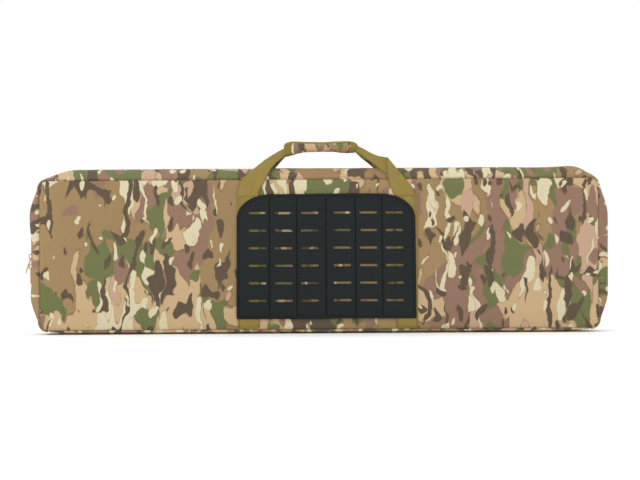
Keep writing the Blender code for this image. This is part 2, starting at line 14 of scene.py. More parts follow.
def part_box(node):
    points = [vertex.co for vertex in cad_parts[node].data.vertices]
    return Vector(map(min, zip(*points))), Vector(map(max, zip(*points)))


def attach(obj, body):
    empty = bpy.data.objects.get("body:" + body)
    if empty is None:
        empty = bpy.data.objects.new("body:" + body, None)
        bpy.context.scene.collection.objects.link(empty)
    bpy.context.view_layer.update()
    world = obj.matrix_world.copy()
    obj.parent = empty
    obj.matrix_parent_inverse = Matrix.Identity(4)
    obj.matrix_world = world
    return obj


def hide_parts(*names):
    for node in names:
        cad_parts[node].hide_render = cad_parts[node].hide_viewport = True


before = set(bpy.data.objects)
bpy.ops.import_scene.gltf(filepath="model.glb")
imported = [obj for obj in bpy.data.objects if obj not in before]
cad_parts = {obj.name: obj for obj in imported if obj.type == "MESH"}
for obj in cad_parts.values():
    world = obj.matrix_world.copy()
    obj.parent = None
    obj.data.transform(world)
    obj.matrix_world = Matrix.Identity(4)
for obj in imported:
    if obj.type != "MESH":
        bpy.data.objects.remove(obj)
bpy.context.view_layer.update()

# Sizes read from the frame
COVER_LOW, COVER_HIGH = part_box("front_cover")
PANEL_HALF = COVER_HIGH.x
PANEL_LOW = COVER_LOW.z
PANEL_HIGH = COVER_HIGH.z
FACE_Y = -COVER_LOW.y
FIELD_LOW, FIELD_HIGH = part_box("attachment_panel")
STRAP_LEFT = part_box("front_strap_left")
STRAP_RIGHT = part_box("front_strap_right")
COIL_LOW, COIL_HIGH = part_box("front_zip_coil")
TAPE_LOW, TAPE_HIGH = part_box("front_zip_tape")

# Side wall
SIDE_BULGE = 0.014
TOP_BULGE = 0.016
BOTTOM_BULGE = 0.006
PANEL_RADIUS = 0.012
CORNER_SHARE = 0.3
CORNER_DIP = 0.0015
BULGE_RUN = 0.045
CHAIN_START = 0.0264
TAB_TOP = 0.022
ARC_X = PANEL_HALF - PANEL_RADIUS
ARC_LOW = PANEL_LOW + PANEL_RADIUS
ARC_HIGH = PANEL_HIGH - PANEL_RADIUS

# Webbing
STRAP_WIDTH = STRAP_LEFT[1].x - STRAP_LEFT[0].x
STRAP_THICKNESS = 0.0016
LEFT_STRAP_X = (STRAP_LEFT[1].x + STRAP_LEFT[0].x) / 2
RIGHT_STRAP_X = (STRAP_RIGHT[1].x + STRAP_RIGHT[0].x) / 2
HANDLE_ROOT_Z = 0.2045
STRAP_Y = 0.0331

# Grip
GRIP_LEFT = -0.0505
GRIP_RIGHT = 0.0583
BAND_LENGTH = 0.011

# Seed offsets, so that no two cloth pieces show the same part of the print
PRINT_PLACES = {"front": 0.0, "back": 3.1, "front_wall": 6.4, "rear_wall": 9.7, "bottom_wall": 13.2, "grip": 17.9}


# ---------------------------------------------------------------- materials


BRIGHTNESS = 0.80  # share of a display colour that a surface reflects under this light


def linear(red, green, blue):
    """A colour given in 0-255 display values, as the linear colour of a surface."""
    out = []
    for value in (red, green, blue):
        v = value / 255.0
        v = v / 12.92 if v <= 0.04045 else ((v + 0.055) / 1.055) ** 2.4
        out.append(v * BRIGHTNESS)
    return (*out, 1.0)


class Finish:
    """A node material under construction."""

    def __init__(self, name, roughness=0.85, metallic=0.0, specular=0.5):
        self.material = bpy.data.materials.new(name)
        self.material.use_nodes = True
        self.tree = self.material.node_tree
        self.shader = self.tree.nodes["Principled BSDF"]
        self.shader.inputs["Roughness"].default_value = roughness
        self.shader.inputs["Metallic"].default_value = metallic
        self.shader.inputs["Specular IOR Level"].default_value = specular

    def node(self, kind, settings=None, **inputs):
        made = self.tree.nodes.new("ShaderNode" + kind)
        for key, value in (settings or {}).items():
            setattr(made, key, value)
        for key, value in inputs.items():
            self.put(made.inputs[key], value)
        return made

    def put(self, socket, value):
        if isinstance(value, bpy.types.NodeSocket):
            self.tree.links.new(value, socket)
        else:
            socket.default_value = value

    def math(self, operation, a, b=0.0):
        made = self.tree.nodes.new("ShaderNodeMath")
        made.operation = operation
        self.put(made.inputs[0], a)
        self.put(made.inputs[1], b)
        return made.outputs[0]

    def ramp(self, value, low, high, out_low=0.0, out_high=1.0):
        made = self.node("MapRange", {"clamp": True})
        self.put(made.inputs["Value"], value)
        for key, number in (("From Min", low), ("From Max", high), ("To Min", out_low), ("To Max", out_high)):
            self.put(made.inputs[key], number)
        return made.outputs["Result"]

    def mix(self, share, a, b, blend="MIX"):
        made = self.tree.nodes.new("ShaderNodeMix")
        made.data_type = "RGBA"
        made.blend_type = blend
        self.put(made.inputs[0], share)
        self.put(made.inputs[6], a)
        self.put(made.inputs[7], b)
        return made.outputs[2]

    def cloth_place(self, offset=0.0):
        """Place on the cloth, in metres, as a vector."""
        uv = self.node("UVMap", {"uv_map": "cloth"}).outputs["UV"]
        return self.shifted(uv, (offset, offset * 0.37, 0.0))

    def shifted(self, place, shift):
        moved = self.node("VectorMath", {"operation": "ADD"})
        self.put(moved.inputs[0], place)
        self.put(moved.inputs[1], shift)
        return moved.outputs[0]

    def warped(self, place, scale, amount):
        """A place moved about by noise, up to about half the amount each way."""
        made = self.node("TexNoise", {"noise_dimensions": "2D"}, Scale=scale, Detail=1.0)
        self.put(made.inputs["Vector"], place)
        centred = self.shifted(made.outputs["Color"], (-0.5, -0.5, -0.5))
        scaled = self.node("VectorMath", {"operation": "SCALE"}, Scale=amount)
        self.put(scaled.inputs[0], centred)
        return self.shifted(place, scaled.outputs[0])

    def object_place(self):
        return self.node("TexCoord").outputs["Object"]

    def noise(self, place, scale, detail=1.0, roughness=0.5, distortion=0.0, flat=True):
        """Noise of a place scaled by scale, a number or one number per axis."""
        if isinstance(scale, (tuple, list)):
            scaled = self.node("VectorMath", {"operation": "MULTIPLY"})
            self.put(scaled.inputs[0], place)
            scaled.inputs[1].default_value = scale
            place = scaled.outputs[0]
            scale = 1.0
        made = self.node("TexNoise", {"noise_dimensions": "2D" if flat else "3D"})
        self.put(made.inputs["Vector"], place)
        made.inputs["Scale"].default_value = scale
        made.inputs["Detail"].default_value = detail
        made.inputs["Roughness"].default_value = roughness
        made.inputs["Distortion"].default_value = distortion
        return made.outputs["Fac"]

    def bump(self, height, depth, strength=1.0):
        made = self.node("Bump", Strength=strength, Distance=depth)
        self.put(made.inputs["Height"], height)
        self.put(self.shader.inputs["Normal"], made.outputs["Normal"])
        return made

    def weave(self, place, pitch):
        """Plain weave: 0 in the gaps between threads, 1 on their crowns."""
        parts = self.node("SeparateXYZ")
        self.put(parts.inputs[0], place)
        waves = []
        for axis in (0, 1):
            turned = self.math("MULTIPLY", parts.outputs[axis], 2.0 * math.pi / pitch)
            waves.append(self.math("SINE", turned))
        both = self.math("MULTIPLY", waves[0], waves[1])
        return self.math("MULTIPLY_ADD", both, 0.5)

    def base(self, colour):
        self.put(self.shader.inputs["Base Color"], colour)


TAN = linear(170, 139, 94)
TAN_DARK = linear(157, 127, 83)
KHAKI = linear(212, 181, 136)
GREEN = linear(108, 116, 66)
MAUVE = linear(152, 115, 97)
PINK = linear(207, 168, 143)
BROWN = linear(88, 72, 58)
CREAM = linear(230, 219, 181)
RIM = linear(122, 96, 62)

# Layers of the print, bottom first: kind, frequency across and along, level, detail, how much
# the busy areas raise it, colour and colour of its rim
PRINT_LAYERS = [
    ("mass", (9.5, 6.0), 0.530, 2.6, 0.20, GREEN, None),
    ("mass", (8.4, 5.0), 0.535, 2.4, 0.17, MAUVE, None),
    ("mass", (15.0, 6.6), 0.550, 2.4, 0.20, KHAKI, RIM),
    ("mass", (13.0, 9.0), 0.605, 2.2, 0.12, GREEN, None),
    ("mass", (23.0, 10.5), 0.705, 1.6, 0.10, PINK, RIM),
    ("mass", (21.0, 11.0), 0.645, 1.6, 0.12, MAUVE, None),
    ("branch", (24.0, 7.5), 0.520, 1.0, 0.12, CREAM, RIM),
    ("mass", (36.0, 13.0), 0.695, 1.0, 0.12, CREAM, RIM),
    ("branch", (22.0, 8.0), 0.470, 1.0, 0.10, BROWN, RIM),
    ("mass", (40.0, 17.0), 0.700, 1.0, 0.07, BROWN, RIM),
    ("mass", (68.0, 38.0), 0.755, 0.0, 0.04, BROWN, RIM),
    ("mass", (72.0, 40.0), 0.785, 0.0, 0.07, CREAM, RIM),
]


def camo(place_name, finer=1.0):
    """A generic camouflage print of masses, drips and branches on a tan ground, on woven cloth."""
    f = Finish(f"camo_{place_name}", roughness=0.85, specular=0.22)
    place = f.cloth_place(PRINT_PLACES[place_name])
    knobby = f.warped(f.warped(place, 22.0 * finer, 0.020 / finer), 95.0 * finer, 0.0055 / finer)
    busy = f.ramp(f.noise(place, (6.0 * finer, 1.3 * finer, 1.0), 0.0), 0.40, 0.53, -0.5, 0.3)

    def layer(kind, scale, level, seed, detail, lift):
        moved = f.shifted(knobby, (seed * 1.7, seed * 2.9, 0.0))
        value = f.noise(moved, (scale[0] * finer, scale[1] * finer, 1.0), detail, 0.48)
        raised = f.math("MULTIPLY", busy, lift)
        if kind == "branch":
            middle = f.math("ABSOLUTE", f.math("SUBTRACT", value, 0.5))
            far = f.shifted(knobby, (seed * 3.1, seed * 1.3, 0.0))
            mask = f.math("ADD", f.noise(far, (11.0 * finer, 8.0 * finer, 1.0), 1.0), raised)
            width = f.ramp(mask, level, level + 0.16, -0.03, 0.045)
            value = f.math("SUBTRACT", width, middle)
            level = 0.0
        else:
            value = f.math("ADD", value, raised)
        soft = 0.0022 if kind == "branch" else 0.0045
        inside = f.ramp(value, level - soft, level + soft)
        around = f.ramp(value, level - 3.6 * soft, level - 1.6 * soft)
        return inside, around

    colour = f.mix(f.ramp(f.noise(place, (5.0, 3.0, 1.0), 2.0), 0.3, 0.7), TAN, TAN_DARK)
    for seed, (kind, scale, level, detail, lift, inner, rim_colour) in enumerate(PRINT_LAYERS, 1):
        inside, around = layer(kind, scale, level, seed, detail, lift)
        if rim_colour is not None:
            colour = f.mix(f.math("MULTIPLY", around, 0.6), colour, rim_colour)
        colour = f.mix(inside, colour, inner)

    grain = f.noise(place, 950.0, 2.0)
    slub = f.noise(place, (600.0, 1500.0, 1.0), 1.0)
    colour = f.mix(f.ramp(grain, 0.30, 0.70, 0.0, 0.20), colour, linear(70, 58, 40))
    colour = f.mix(f.ramp(slub, 0.35, 0.75, 0.0, 0.10), colour, linear(235, 222, 190))
    f.base(colour)
    f.shader.inputs["Sheen Weight"].default_value = 0.06
    f.shader.inputs["Sheen Roughness"].default_value = 0.5
    height = f.math("ADD", f.weave(place, 0.0014), f.math("MULTIPLY", grain, 0.8))
    f.bump(height, 0.00012, 0.6)
    return f.material


def webbing_finish(name, colour, dark):
    """Herringbone webbing, ribbed along its length."""
    f = Finish(name, roughness=0.8, specular=0.25)
    place = f.cloth_place()
    parts = f.node("SeparateXYZ")
    f.put(parts.inputs[0], place)
    along, across = parts.outputs[0], parts.outputs[1]
    zigzag = f.math("PINGPONG", across, 0.004)
    phase = f.math("ADD", f.math("MULTIPLY", zigzag, 430.0), f.math("MULTIPLY", along, 400.0))
    rib = f.math("SINE", f.math("MULTIPLY", phase, 2.0 * math.pi))
    rib = f.math("MULTIPLY_ADD", rib, 0.5)
    rib = f.ramp(rib, -0.5, 1.0)
    wear = f.noise(place, (60.0, 160.0, 1.0), 3.0, 0.6)
    # Darker over the outer millimetre of each edge of the webbing, where it rounds over: painted shade.
    edge_shade = f.ramp(f.math("ABSOLUTE", across), 0.0140, 0.0146)
    # Darker in the troughs between the ribs: painted shade in the weave's hollows; the same rib also drives the bump
    # below.
    shade = f.mix(f.ramp(rib, 0.1, 0.9, 0.0, 1.0), dark, colour)
    shade = f.mix(f.ramp(wear, 0.35, 0.75, 0.0, 0.30), shade, dark)
    shade = f.mix(f.math("MULTIPLY", edge_shade, 0.45), shade, dark)
    f.base(shade)
    f.shader.inputs["Sheen Weight"].default_value = 0.06
    f.shader.inputs["Sheen Roughness"].default_value = 0.45
    f.bump(f.math("ADD", rib, f.math("MULTIPLY", wear, 0.5)), 0.00022, 0.7)
    return f.material


def laminate_finish():
    f = Finish("laminate", roughness=0.8, specular=0.22)
    place = f.object_place()
    mottle = f.noise(place, 420.0, 3.0, 0.6, flat=False)
    broad = f.noise(place, 9.0, 2.0, flat=False)
    shade = f.mix(f.ramp(mottle, 0.3, 0.7, 0.0, 1.0), linear(20, 25, 27), linear(33, 39, 40))
    shade = f.mix(f.ramp(broad, 0.35, 0.7, 0.0, 0.25), shade, linear(37, 42, 43))
    f.base(shade)
    f.put(f.shader.inputs["Roughness"], f.ramp(mottle, 0.2, 0.8, 0.70, 0.88))
    f.bump(mottle, 0.00012, 0.5)
    return f.material


def plain_finish(name, colour, dark, roughness, scale, depth, metallic=0.0, specular=0.5):
    """Mottled material placed by the object's own coordinates."""
    f = Finish(name, roughness, metallic, specular)
    place = f.object_place()
    fine = f.noise(place, scale, 3.0, 0.6, flat=False)
    broad = f.noise(place, scale / 12.0, 2.0, flat=False)
    shade = f.mix(f.ramp(fine, 0.3, 0.75), colour, dark)
    shade = f.mix(f.ramp(broad, 0.4, 0.75, 0.0, 0.4), shade, dark)
    f.base(shade)
    f.put(f.shader.inputs["Roughness"], f.ramp(fine, 0.2, 0.8, roughness - 0.08, roughness + 0.1))
    f.bump(fine, depth, 0.5)
    return f.material


def woven_finish(name, colour, dark, pitch, roughness=0.8):
    """Plain woven cloth placed by the cloth's own coordinates."""
    f = Finish(name, roughness, specular=0.3)
    place = f.cloth_place()
    threads = f.ramp(f.weave(place, pitch), -0.5, 1.0)
    worn = f.noise(place, 90.0, 3.0, 0.6)
    # Darker in the gaps between threads: painted shade in the weave's hollows.
    shade = f.mix(f.ramp(threads, 0.0, 1.0, 0.1, 0.9), dark, colour)
    shade = f.mix(f.ramp(worn, 0.4, 0.8, 0.0, 0.35), shade, dark)
    f.base(shade)
    f.shader.inputs["Sheen Weight"].default_value = 0.15
    f.bump(f.math("ADD", threads, f.math("MULTIPLY", worn, 0.4)), pitch * 0.16, 0.7)
    return f.material


CAMO = {name: camo(name, 1.7 if name == "grip" else 1.0) for name in PRINT_PLACES}
WEBBING = webbing_finish("webbing", linear(166, 145, 76), linear(122, 103, 46))
LAMINATE = laminate_finish()
LAMINATE_EDGE = plain_finish("laminate_edge", linear(17, 22, 30), linear(11, 14, 20), 0.6, 300.0, 0.00005, specular=0.12)
TAPE = woven_finish("zip_tape", linear(190, 160, 112), linear(140, 112, 72), 0.0010)
COIL = plain_finish("zip_coil", linear(176, 146, 98), linear(130, 104, 64), 0.42, 700.0, 0.00003)
LINING = woven_finish("lining", linear(62, 60, 52), linear(34, 34, 30), 0.0011)
BINDING = webbing_finish("binding", linear(150, 128, 74), linear(110, 90, 46))
BRASS = plain_finish("brass", linear(236, 200, 128), linear(178, 138, 72), 0.30, 260.0, 0.00003, 1.0)
THREAD = plain_finish("thread", linear(104, 84, 38), linear(74, 58, 26), 0.7, 900.0, 0.00002, specular=0.15)
THREAD_DARK = plain_finish("thread_dark", linear(6, 7, 9), linear(2, 3, 4), 0.8, 900.0, 0.00002, specular=0.03)
PADDING = plain_finish("padding", linear(70, 70, 70), linear(48, 48, 48), 0.9, 500.0, 0.00015)


# ---------------------------------------------------------------- mesh helpers


def add_mesh(name, vertices, faces, materials, places=None, smooth=True):
    """A mesh object; places gives each vertex its place on the cloth in metres."""
    mesh = bpy.data.meshes.new(name)
    mesh.from_pydata([tuple(v) for v in vertices], [], faces)
    if places is not None:
        layer = mesh.uv_layers.new(name="cloth")
        for loop in mesh.loops:
            layer.data[loop.index].uv = places[loop.vertex_index]
    if smooth:
        mesh.polygons.foreach_set("use_smooth", [True] * len(mesh.polygons))
    for material in materials:
        mesh.materials.append(material)
    mesh.update()
    piece = bpy.data.objects.new(name, mesh)
    bpy.context.collection.objects.link(piece)
    return piece


def outward(piece):
    """Turn every face of a closed piece outwards."""
    work = bmesh.new()
    work.from_mesh(piece.data)
    bmesh.ops.recalc_face_normals(work, faces=work.faces)
    work.to_mesh(piece.data)
    work.free()


def sharpen(piece, degrees):
    """Sharp shading where faces meet at more than an angle."""
    work = bmesh.new()
    work.from_mesh(piece.data)
    limit = math.radians(degrees)
    for edge in work.edges:
        edge.smooth = not (len(edge.link_faces) == 2 and edge.calc_face_angle(0.0) > limit)
    work.to_mesh(piece.data)
    work.free()


def subdivide(piece, levels=1):
    """Subdivide a piece and keep the result as its mesh."""
    modifier = piece.modifiers.new("Subdivision", "SUBSURF")
    modifier.levels = levels
    modifier.render_levels = levels
    keep_result(piece)


def keep_result(piece):
    """Replace a piece's mesh by the result of its modifiers."""
    bpy.context.view_layer.update()
    graph = bpy.context.evaluated_depsgraph_get()
    mesh = bpy.data.meshes.new_from_object(piece.evaluated_get(graph))
    piece.modifiers.clear()
    old = piece.data
    piece.data = mesh
    bpy.data.meshes.remove(old)


def place(piece, body, slot, *nodes):
    """Set what a piece rides on and hide the CAD nodes that it stands for; slot is not used."""
    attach(piece, body)
    if nodes:
        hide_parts(*nodes)
    return piece


def smooth_step(value, low, high):
    t = min(max((value - low) / (high - low), 0.0), 1.0)
    return t * t * (3.0 - 2.0 * t)


def wobble(x, y, z=0.0):
    """Smooth noise between -1 and 1."""
    return noise.noise(Vector((x, y, z)))


def table_value(table, x):
    """Smooth value at x of a table of (x, value) pairs in order."""
    if x <= table[0][0]:
        return table[0][1]
    for (x0, v0), (x1, v1) in zip(table, table[1:]):
        if x <= x1:
            return v0 + (v1 - v0) * smooth_step(x, x0, x1)
    return table[-1][1]


# ---------------------------------------------------------------- padded panels

EDGE_INSETS = [0.0, 0.0005, 0.0012, 0.0022, 0.0034, 0.0048, 0.0066, 0.0090, 0.0120]
GRID_STEP = 0.0065
SEAM_Y = 0.0276
FRONT_Y = 0.0319
BACK_Y = 0.0226
ROLL = 0.0062


def lines_between(low, high):
    """Grid lines from low to high, closer together near both ends."""
    inner_low = low + EDGE_INSETS[-1]
    inner_high = high - EDGE_INSETS[-1]
    count = round((inner_high - inner_low) / GRID_STEP)
    lines = [low + inset for inset in EDGE_INSETS[:-1]]
    lines += [inner_low + (inner_high - inner_low) * i / count for i in range(count + 1)]
    lines += [high - inset for inset in EDGE_INSETS[-2::-1]]
    return lines


def rounded_place(x, z, half_x, low, high, radius):
    """Where a grid point of a rectangle goes when its corners are rounded, and its distance from the edge."""
    middle = (low + high) / 2
    half_z = (high - low) / 2
    dx = abs(x)
    dz = abs(z - middle)
    inset = min(half_x - dx, half_z - dz)
    u = dx - (half_x - radius)
    v = dz - (half_z - radius)
    if u > 0.0 and v > 0.0:
        share = max(u, v) / math.hypot(u, v)
        x = math.copysign(half_x - radius + u * share, x)
        z = middle + math.copysign(half_z - radius + v * share, z - middle)
    return x, z, inset


def pad_grid(half_x, low, high, radius):
    """Grid points (x, z, distance from edge) of a rounded rectangle, row by row."""
    xs = lines_between(-half_x, half_x)
    zs = lines_between(low, high)
    return [[rounded_place(x, z, half_x, low, high, radius) for x in xs] for z in zs]


def pad_piece(name, side, grid, front_depth, back_depth, materials):
    """A closed pad: the grid seen from outside, and the same grid on the inside, joined at the edge."""
    rows, columns = len(grid), len(grid[0])
    vertices = []
    outer = {}
    inner = {}
    for j in range(rows):
        for i in range(columns):
            x, z, inset = grid[j][i]
            outer[i, j] = len(vertices)
            vertices.append((x, side * front_depth(inset), z))
    for j in range(rows):
        for i in range(columns):
            if i in (0, columns - 1) or j in (0, rows - 1):
                inner[i, j] = outer[i, j]
                continue
            x, z, inset = grid[j][i]
            inner[i, j] = len(vertices)
            vertices.append((x, side * back_depth(inset), z))
    faces = []
    for j in range(rows - 1):
        for i in range(columns - 1):
            ring = [(i, j), (i + 1, j), (i + 1, j + 1), (i, j + 1)]
            faces.append(tuple(outer[key] for key in ring))
            faces.append(tuple(inner[key] for key in reversed(ring)))
    piece = add_mesh(name, vertices, faces, materials)
    outward(piece)
    return piece, len(outer)


def cover_depth(inset):
    t = min(inset / ROLL, 1.0)
    return SEAM_Y + (FRONT_Y - SEAM_Y) * math.sqrt(max(0.0, 1.0 - (1.0 - t) ** 2))


def inner_depth(inset):
    return SEAM_Y + (BACK_Y - SEAM_Y) * smooth_step(inset, 0.0, 0.008)


def held_down(side, x, z):
    """Share, from 0 to 1, that the face is held flat by what is sewn on it."""
    held = 0.0
    reach = 0.010
    half = STRAP_WIDTH / 2
    for centre in (LEFT_STRAP_X, RIGHT_STRAP_X):
        held = max(held, 1.0 - smooth_step(abs(x - centre), half - 0.002, half + reach))
    if side < 0:
        middle = (FIELD_LOW.x + FIELD_HIGH.x) / 2
        half_x = (FIELD_HIGH.x - FIELD_LOW.x) / 2
        across = 1.0 - smooth_step(abs(x - middle), half_x, half_x + reach)
        up = 1.0 - smooth_step(z, FIELD_HIGH.z, FIELD_HIGH.z + reach)
        held = max(held, across * up)
    return held


def blown_up(piece, count, side):
    """How far a cloth simulation with a little pressure inside moves each outer vertex outwards."""
    group = piece.vertex_groups.new(name="held")
    for vertex in piece.data.vertices:
        x, y, z = vertex.co
        free = 0.0
        if vertex.index < count:
            edge = min(PANEL_HALF - abs(x), z - PANEL_LOW, PANEL_HIGH - z)
            free = smooth_step(edge, 0.003, 0.012) * (1.0 - held_down(side, x, z))
        group.add([vertex.index], 1.0 - free, "REPLACE")
    start = [vertex.co.copy() for vertex in piece.data.vertices]
    modifier = piece.modifiers.new("Cloth", "CLOTH")
    settings = modifier.settings
    settings.quality = 4
    settings.mass = 0.25
    settings.tension_stiffness = 18.0
    settings.compression_stiffness = 18.0
    settings.shear_stiffness = 8.0
    settings.bending_stiffness = 4.0
    settings.vertex_group_mass = "held"
    settings.use_pressure = True
    settings.uniform_pressure_force = 4.0
    settings.effector_weights.gravity = 0.0
    modifier.point_cache.frame_start = 1
    modifier.point_cache.frame_end = 20
    scene = bpy.context.scene
    for step in range(1, 21):
        scene.frame_set(step)
    graph = bpy.context.evaluated_depsgraph_get()
    result = piece.evaluated_get(graph).data
    moves = [result.vertices[i].co - start[i] for i in range(len(start))]
    piece.modifiers.clear()
    piece.vertex_groups.clear()
    scene.frame_set(1)
    return moves


CROWN = 0.0032
FIELD_FILL = 0.0020  # how far the padding fills the space behind the attachment panel


def behind_field(x, z):
    """Share, from 0 to 1, that a place of the front lies behind the attachment panel, between the straps."""
    low = LEFT_STRAP_X + STRAP_WIDTH / 2
    high = RIGHT_STRAP_X - STRAP_WIDTH / 2
    across = smooth_step(x, low + 0.001, low + 0.008) * (1.0 - smooth_step(x, high - 0.008, high - 0.001))
    up = smooth_step(z, FIELD_LOW.z + 0.003, FIELD_LOW.z + 0.012)
    down = 1.0 - smooth_step(z, FIELD_HIGH.z - 0.012, FIELD_HIGH.z - 0.003)
    return across * up * down


def shape_panel(piece, count, side):
    """Puff the face of a panel between its seams, press it in under the straps and wrinkle it."""
    moves = blown_up(piece, count, side)
    if moves:
        largest = max(abs(move.y) for move in moves)
        print("PANEL", piece.name, "largest move", round(largest * 1000, 2), "mm")
    for vertex in piece.data.vertices:
        if vertex.index >= count:
            continue
        x, y, z = vertex.co
        edge = min(PANEL_HALF - abs(x), z - PANEL_LOW, PANEL_HIGH - z)
        free = smooth_step(edge, 0.0, 0.030) * (1.0 - held_down(side, x, z))
        behind = behind_field(x, z) if side < 0 else 0.0
        if moves:
            out = side * moves[vertex.index].y
            vertex.co.x += max(-0.001, min(0.001, moves[vertex.index].x))
            vertex.co.z += max(-0.001, min(0.001, moves[vertex.index].z))
            out = CROWN * math.tanh(max(out, 0.0) / CROWN)
        else:
            out = CROWN * 0.8 * free
        seed = 4.0 if side < 0 else 11.0
        ripple = 0.0007 * wobble(x * 9.0, z * 5.0, seed) + 0.0004 * wobble(x * 24.0, z * 13.0, seed + 2.0)
        near_edge = math.exp(-((edge - 0.010) / 0.008) ** 2)
        along = x if min(z - PANEL_LOW, PANEL_HIGH - z) < PANEL_HALF - abs(x) else z
        pucker = 0.00045 * near_edge * wobble(along * 75.0, 0.3, seed + 5.0)
        out += ripple * (0.25 + 0.75 * free) * smooth_step(edge, 0.0, 0.02) + pucker
        out += FIELD_FILL * behind
        vertex.co.y += side * out


def cloth_places(piece):
    """Give a flat-lying piece its cloth places straight from x and z."""
    mesh = piece.data
    layer = mesh.uv_layers.get("cloth") or mesh.uv_layers.new(name="cloth")
    for loop in mesh.loops:
        co = mesh.vertices[loop.vertex_index].co
        layer.data[loop.index].uv = (co.x, co.z)


def make_panel(name, side, body, *nodes):
    grid = pad_grid(PANEL_HALF, PANEL_LOW, PANEL_HIGH, PANEL_RADIUS)
    word = "front" if side < 0 else "back"
    piece, count = pad_piece(name, side, grid, cover_depth, inner_depth, [CAMO[word]])
    shape_panel(piece, count, side)
    subdivide(piece)
    cloth_places(piece)
    place(piece, body, "camo_fabric", *nodes)
    return piece


class Face:
    """The outer surface of a panel, to lay pieces on."""

    def __init__(self, piece, side):
        self.side = side
        mesh = piece.data
        self.tree = BVHTree.FromPolygons([v.co for v in mesh.vertices], [tuple(p.vertices) for p in mesh.polygons])

    def depth(self, x, z):
        """Distance of the surface from the bag's middle plane."""
        hit = self.tree.ray_cast(Vector((x, self.side * 0.2, z)), Vector((0.0, -self.side, 0.0)))[0]
        return abs(hit.y) if hit else SEAM_Y


# ---------------------------------------------------------------- side walls and zip


def side_bulge(full, distance):
    share = math.sin(math.pi / 2 * min(distance / BULGE_RUN, 1.0))
    return full * (CORNER_SHARE + (1.0 - CORNER_SHARE) * share)


def straight(start, end, full, normal, step=0.0055):
    """Stations (x, z, outward x, outward z, bulge) along one straight side, ends included."""
    ax, az = start
    bx, bz = end
    length = math.hypot(bx - ax, bz - az)
    count = max(2, round(length / step))
    stations = []
    for i in range(count + 1):
        distance = length * i / count
        t = i / count
        bulge = side_bulge(full, min(distance, length - distance))
        stations.append((ax + (bx - ax) * t, az + (bz - az) * t, normal[0], normal[1], bulge))
    return stations


def corner(centre, start, before, after, steps=9):
    """Stations round one corner, without its ends."""
    stations = []
    for i in range(1, steps):
        t = i / steps
        angle = start - math.pi / 2 * t
        cosine, sine = math.cos(angle), math.sin(angle)
        bulge = CORNER_SHARE * (before + (after - before) * t) - CORNER_DIP * math.sin(math.pi * t)
        x = centre[0] + PANEL_RADIUS * cosine
        z = centre[1] + PANEL_RADIUS * sine
        stations.append((x, z, cosine, sine, bulge))
    return stations


def end_straight(side, upwards, low=ARC_LOW, high=ARC_HIGH):
    x = side * PANEL_HALF
    stations = straight((x, ARC_LOW), (x, ARC_HIGH), SIDE_BULGE, (side, 0))
    kept = [s for s in stations if low < s[1] < high]
    kept = [end_station(side, low)] + kept + [end_station(side, high)]
    return kept if upwards else kept[::-1]


def end_station(side, z):
    bulge = side_bulge(SIDE_BULGE, min(z - ARC_LOW, ARC_HIGH - z))
    return (side * PANEL_HALF, z, side, 0, bulge)


def foot(side):
    return (side * ARC_X, PANEL_LOW, 0, -1, CORNER_SHARE * BOTTOM_BULGE)


def over_the_top(low):
    """Stations up the left end from a height, over the top and down the right end."""
    stations = end_straight(-1, True, low=low)
    stations += corner((-ARC_X, ARC_HIGH), math.pi, SIDE_BULGE, TOP_BULGE)
    stations += straight((-ARC_X, PANEL_HIGH), (ARC_X, PANEL_HIGH), TOP_BULGE, (0, 1))
    stations += corner((ARC_X, ARC_HIGH), math.pi / 2, TOP_BULGE, SIDE_BULGE)
    stations += end_straight(1, False, low=low)
    return stations


def all_round():
    stations = [foot(-1)] + corner((-ARC_X, ARC_LOW), -math.pi / 2, BOTTOM_BULGE, SIDE_BULGE)
    stations += over_the_top(ARC_LOW)
    stations += corner((ARC_X, ARC_LOW), 0.0, SIDE_BULGE, BOTTOM_BULGE) + [foot(1)]
    return stations


FULL_CORNER = 0.0045  # the top wall stands fuller near its right corner
FULL_CORNER_X = 0.378


def uneven(stations, amount, seed):
    """The same stations with the bulge a little uneven, except beside the sliders."""
    out = []
    for x, z, nx, nz, bulge in stations:
        still = 1.0 if x > -PANEL_HALF + 0.002 else smooth_step(abs(z - 0.110), 0.050, 0.085)
        push = amount * still * (wobble(x * 14.0, z * 14.0, seed) + 0.5 * wobble(x * 34.0, z * 34.0, seed + 3.0))
        fuller = FULL_CORNER * math.exp(-((x - FULL_CORNER_X) / 0.019) ** 2) * smooth_step(z, ARC_HIGH, PANEL_HIGH)
        out.append((x, z, nx, nz, bulge + push * min(1.0, bulge / 0.008) + fuller))
    return out


def arc_lengths(stations):
    total = [0.0]
    for a, b in zip(stations, stations[1:]):
        total.append(total[-1] + math.hypot(b[0] - a[0], b[1] - a[1]))
    return total


def swept(name, stations, section, side, materials, inside_from=None):
    """A closed section carried along the stations.

    The section is a list of (y, fixed reach, share of the bulge); side turns its y to the front or the rear.
    Faces from section point inside_from on get the second material.
    """
    lengths = arc_lengths(stations)
    vertices = []
    places = []
    width = [0.0]
    for a, b in zip(section, section[1:]):
        width.append(width[-1] + math.hypot(b[0] - a[0], (b[2] - a[2]) * 0.014 + b[1] - a[1]))
    for s, (x, z, nx, nz, bulge) in zip(lengths, stations):
        for k, (y, fixed, share) in enumerate(section):
            reach = fixed + share * bulge
            vertices.append((x + nx * reach, side * y, z + nz * reach))
            places.append((s, width[k]))
    count = len(section)
    faces = []
    for i in range(len(stations) - 1):
        for k in range(count):
            a = i * count + k
            b = i * count + (k + 1) % count
            faces.append((a, b, b + count, a + count))
    faces.append(tuple(range(count)))
    last = (len(stations) - 1) * count
    faces.append(tuple(last + k for k in range(count)))
    piece = add_mesh(name, vertices, faces, materials, places)
    if inside_from is not None:
        for i, polygon in enumerate(piece.data.polygons[:(len(stations) - 1) * count]):
            polygon.material_index = int(i % count >= inside_from)
    outward(piece)
    return piece


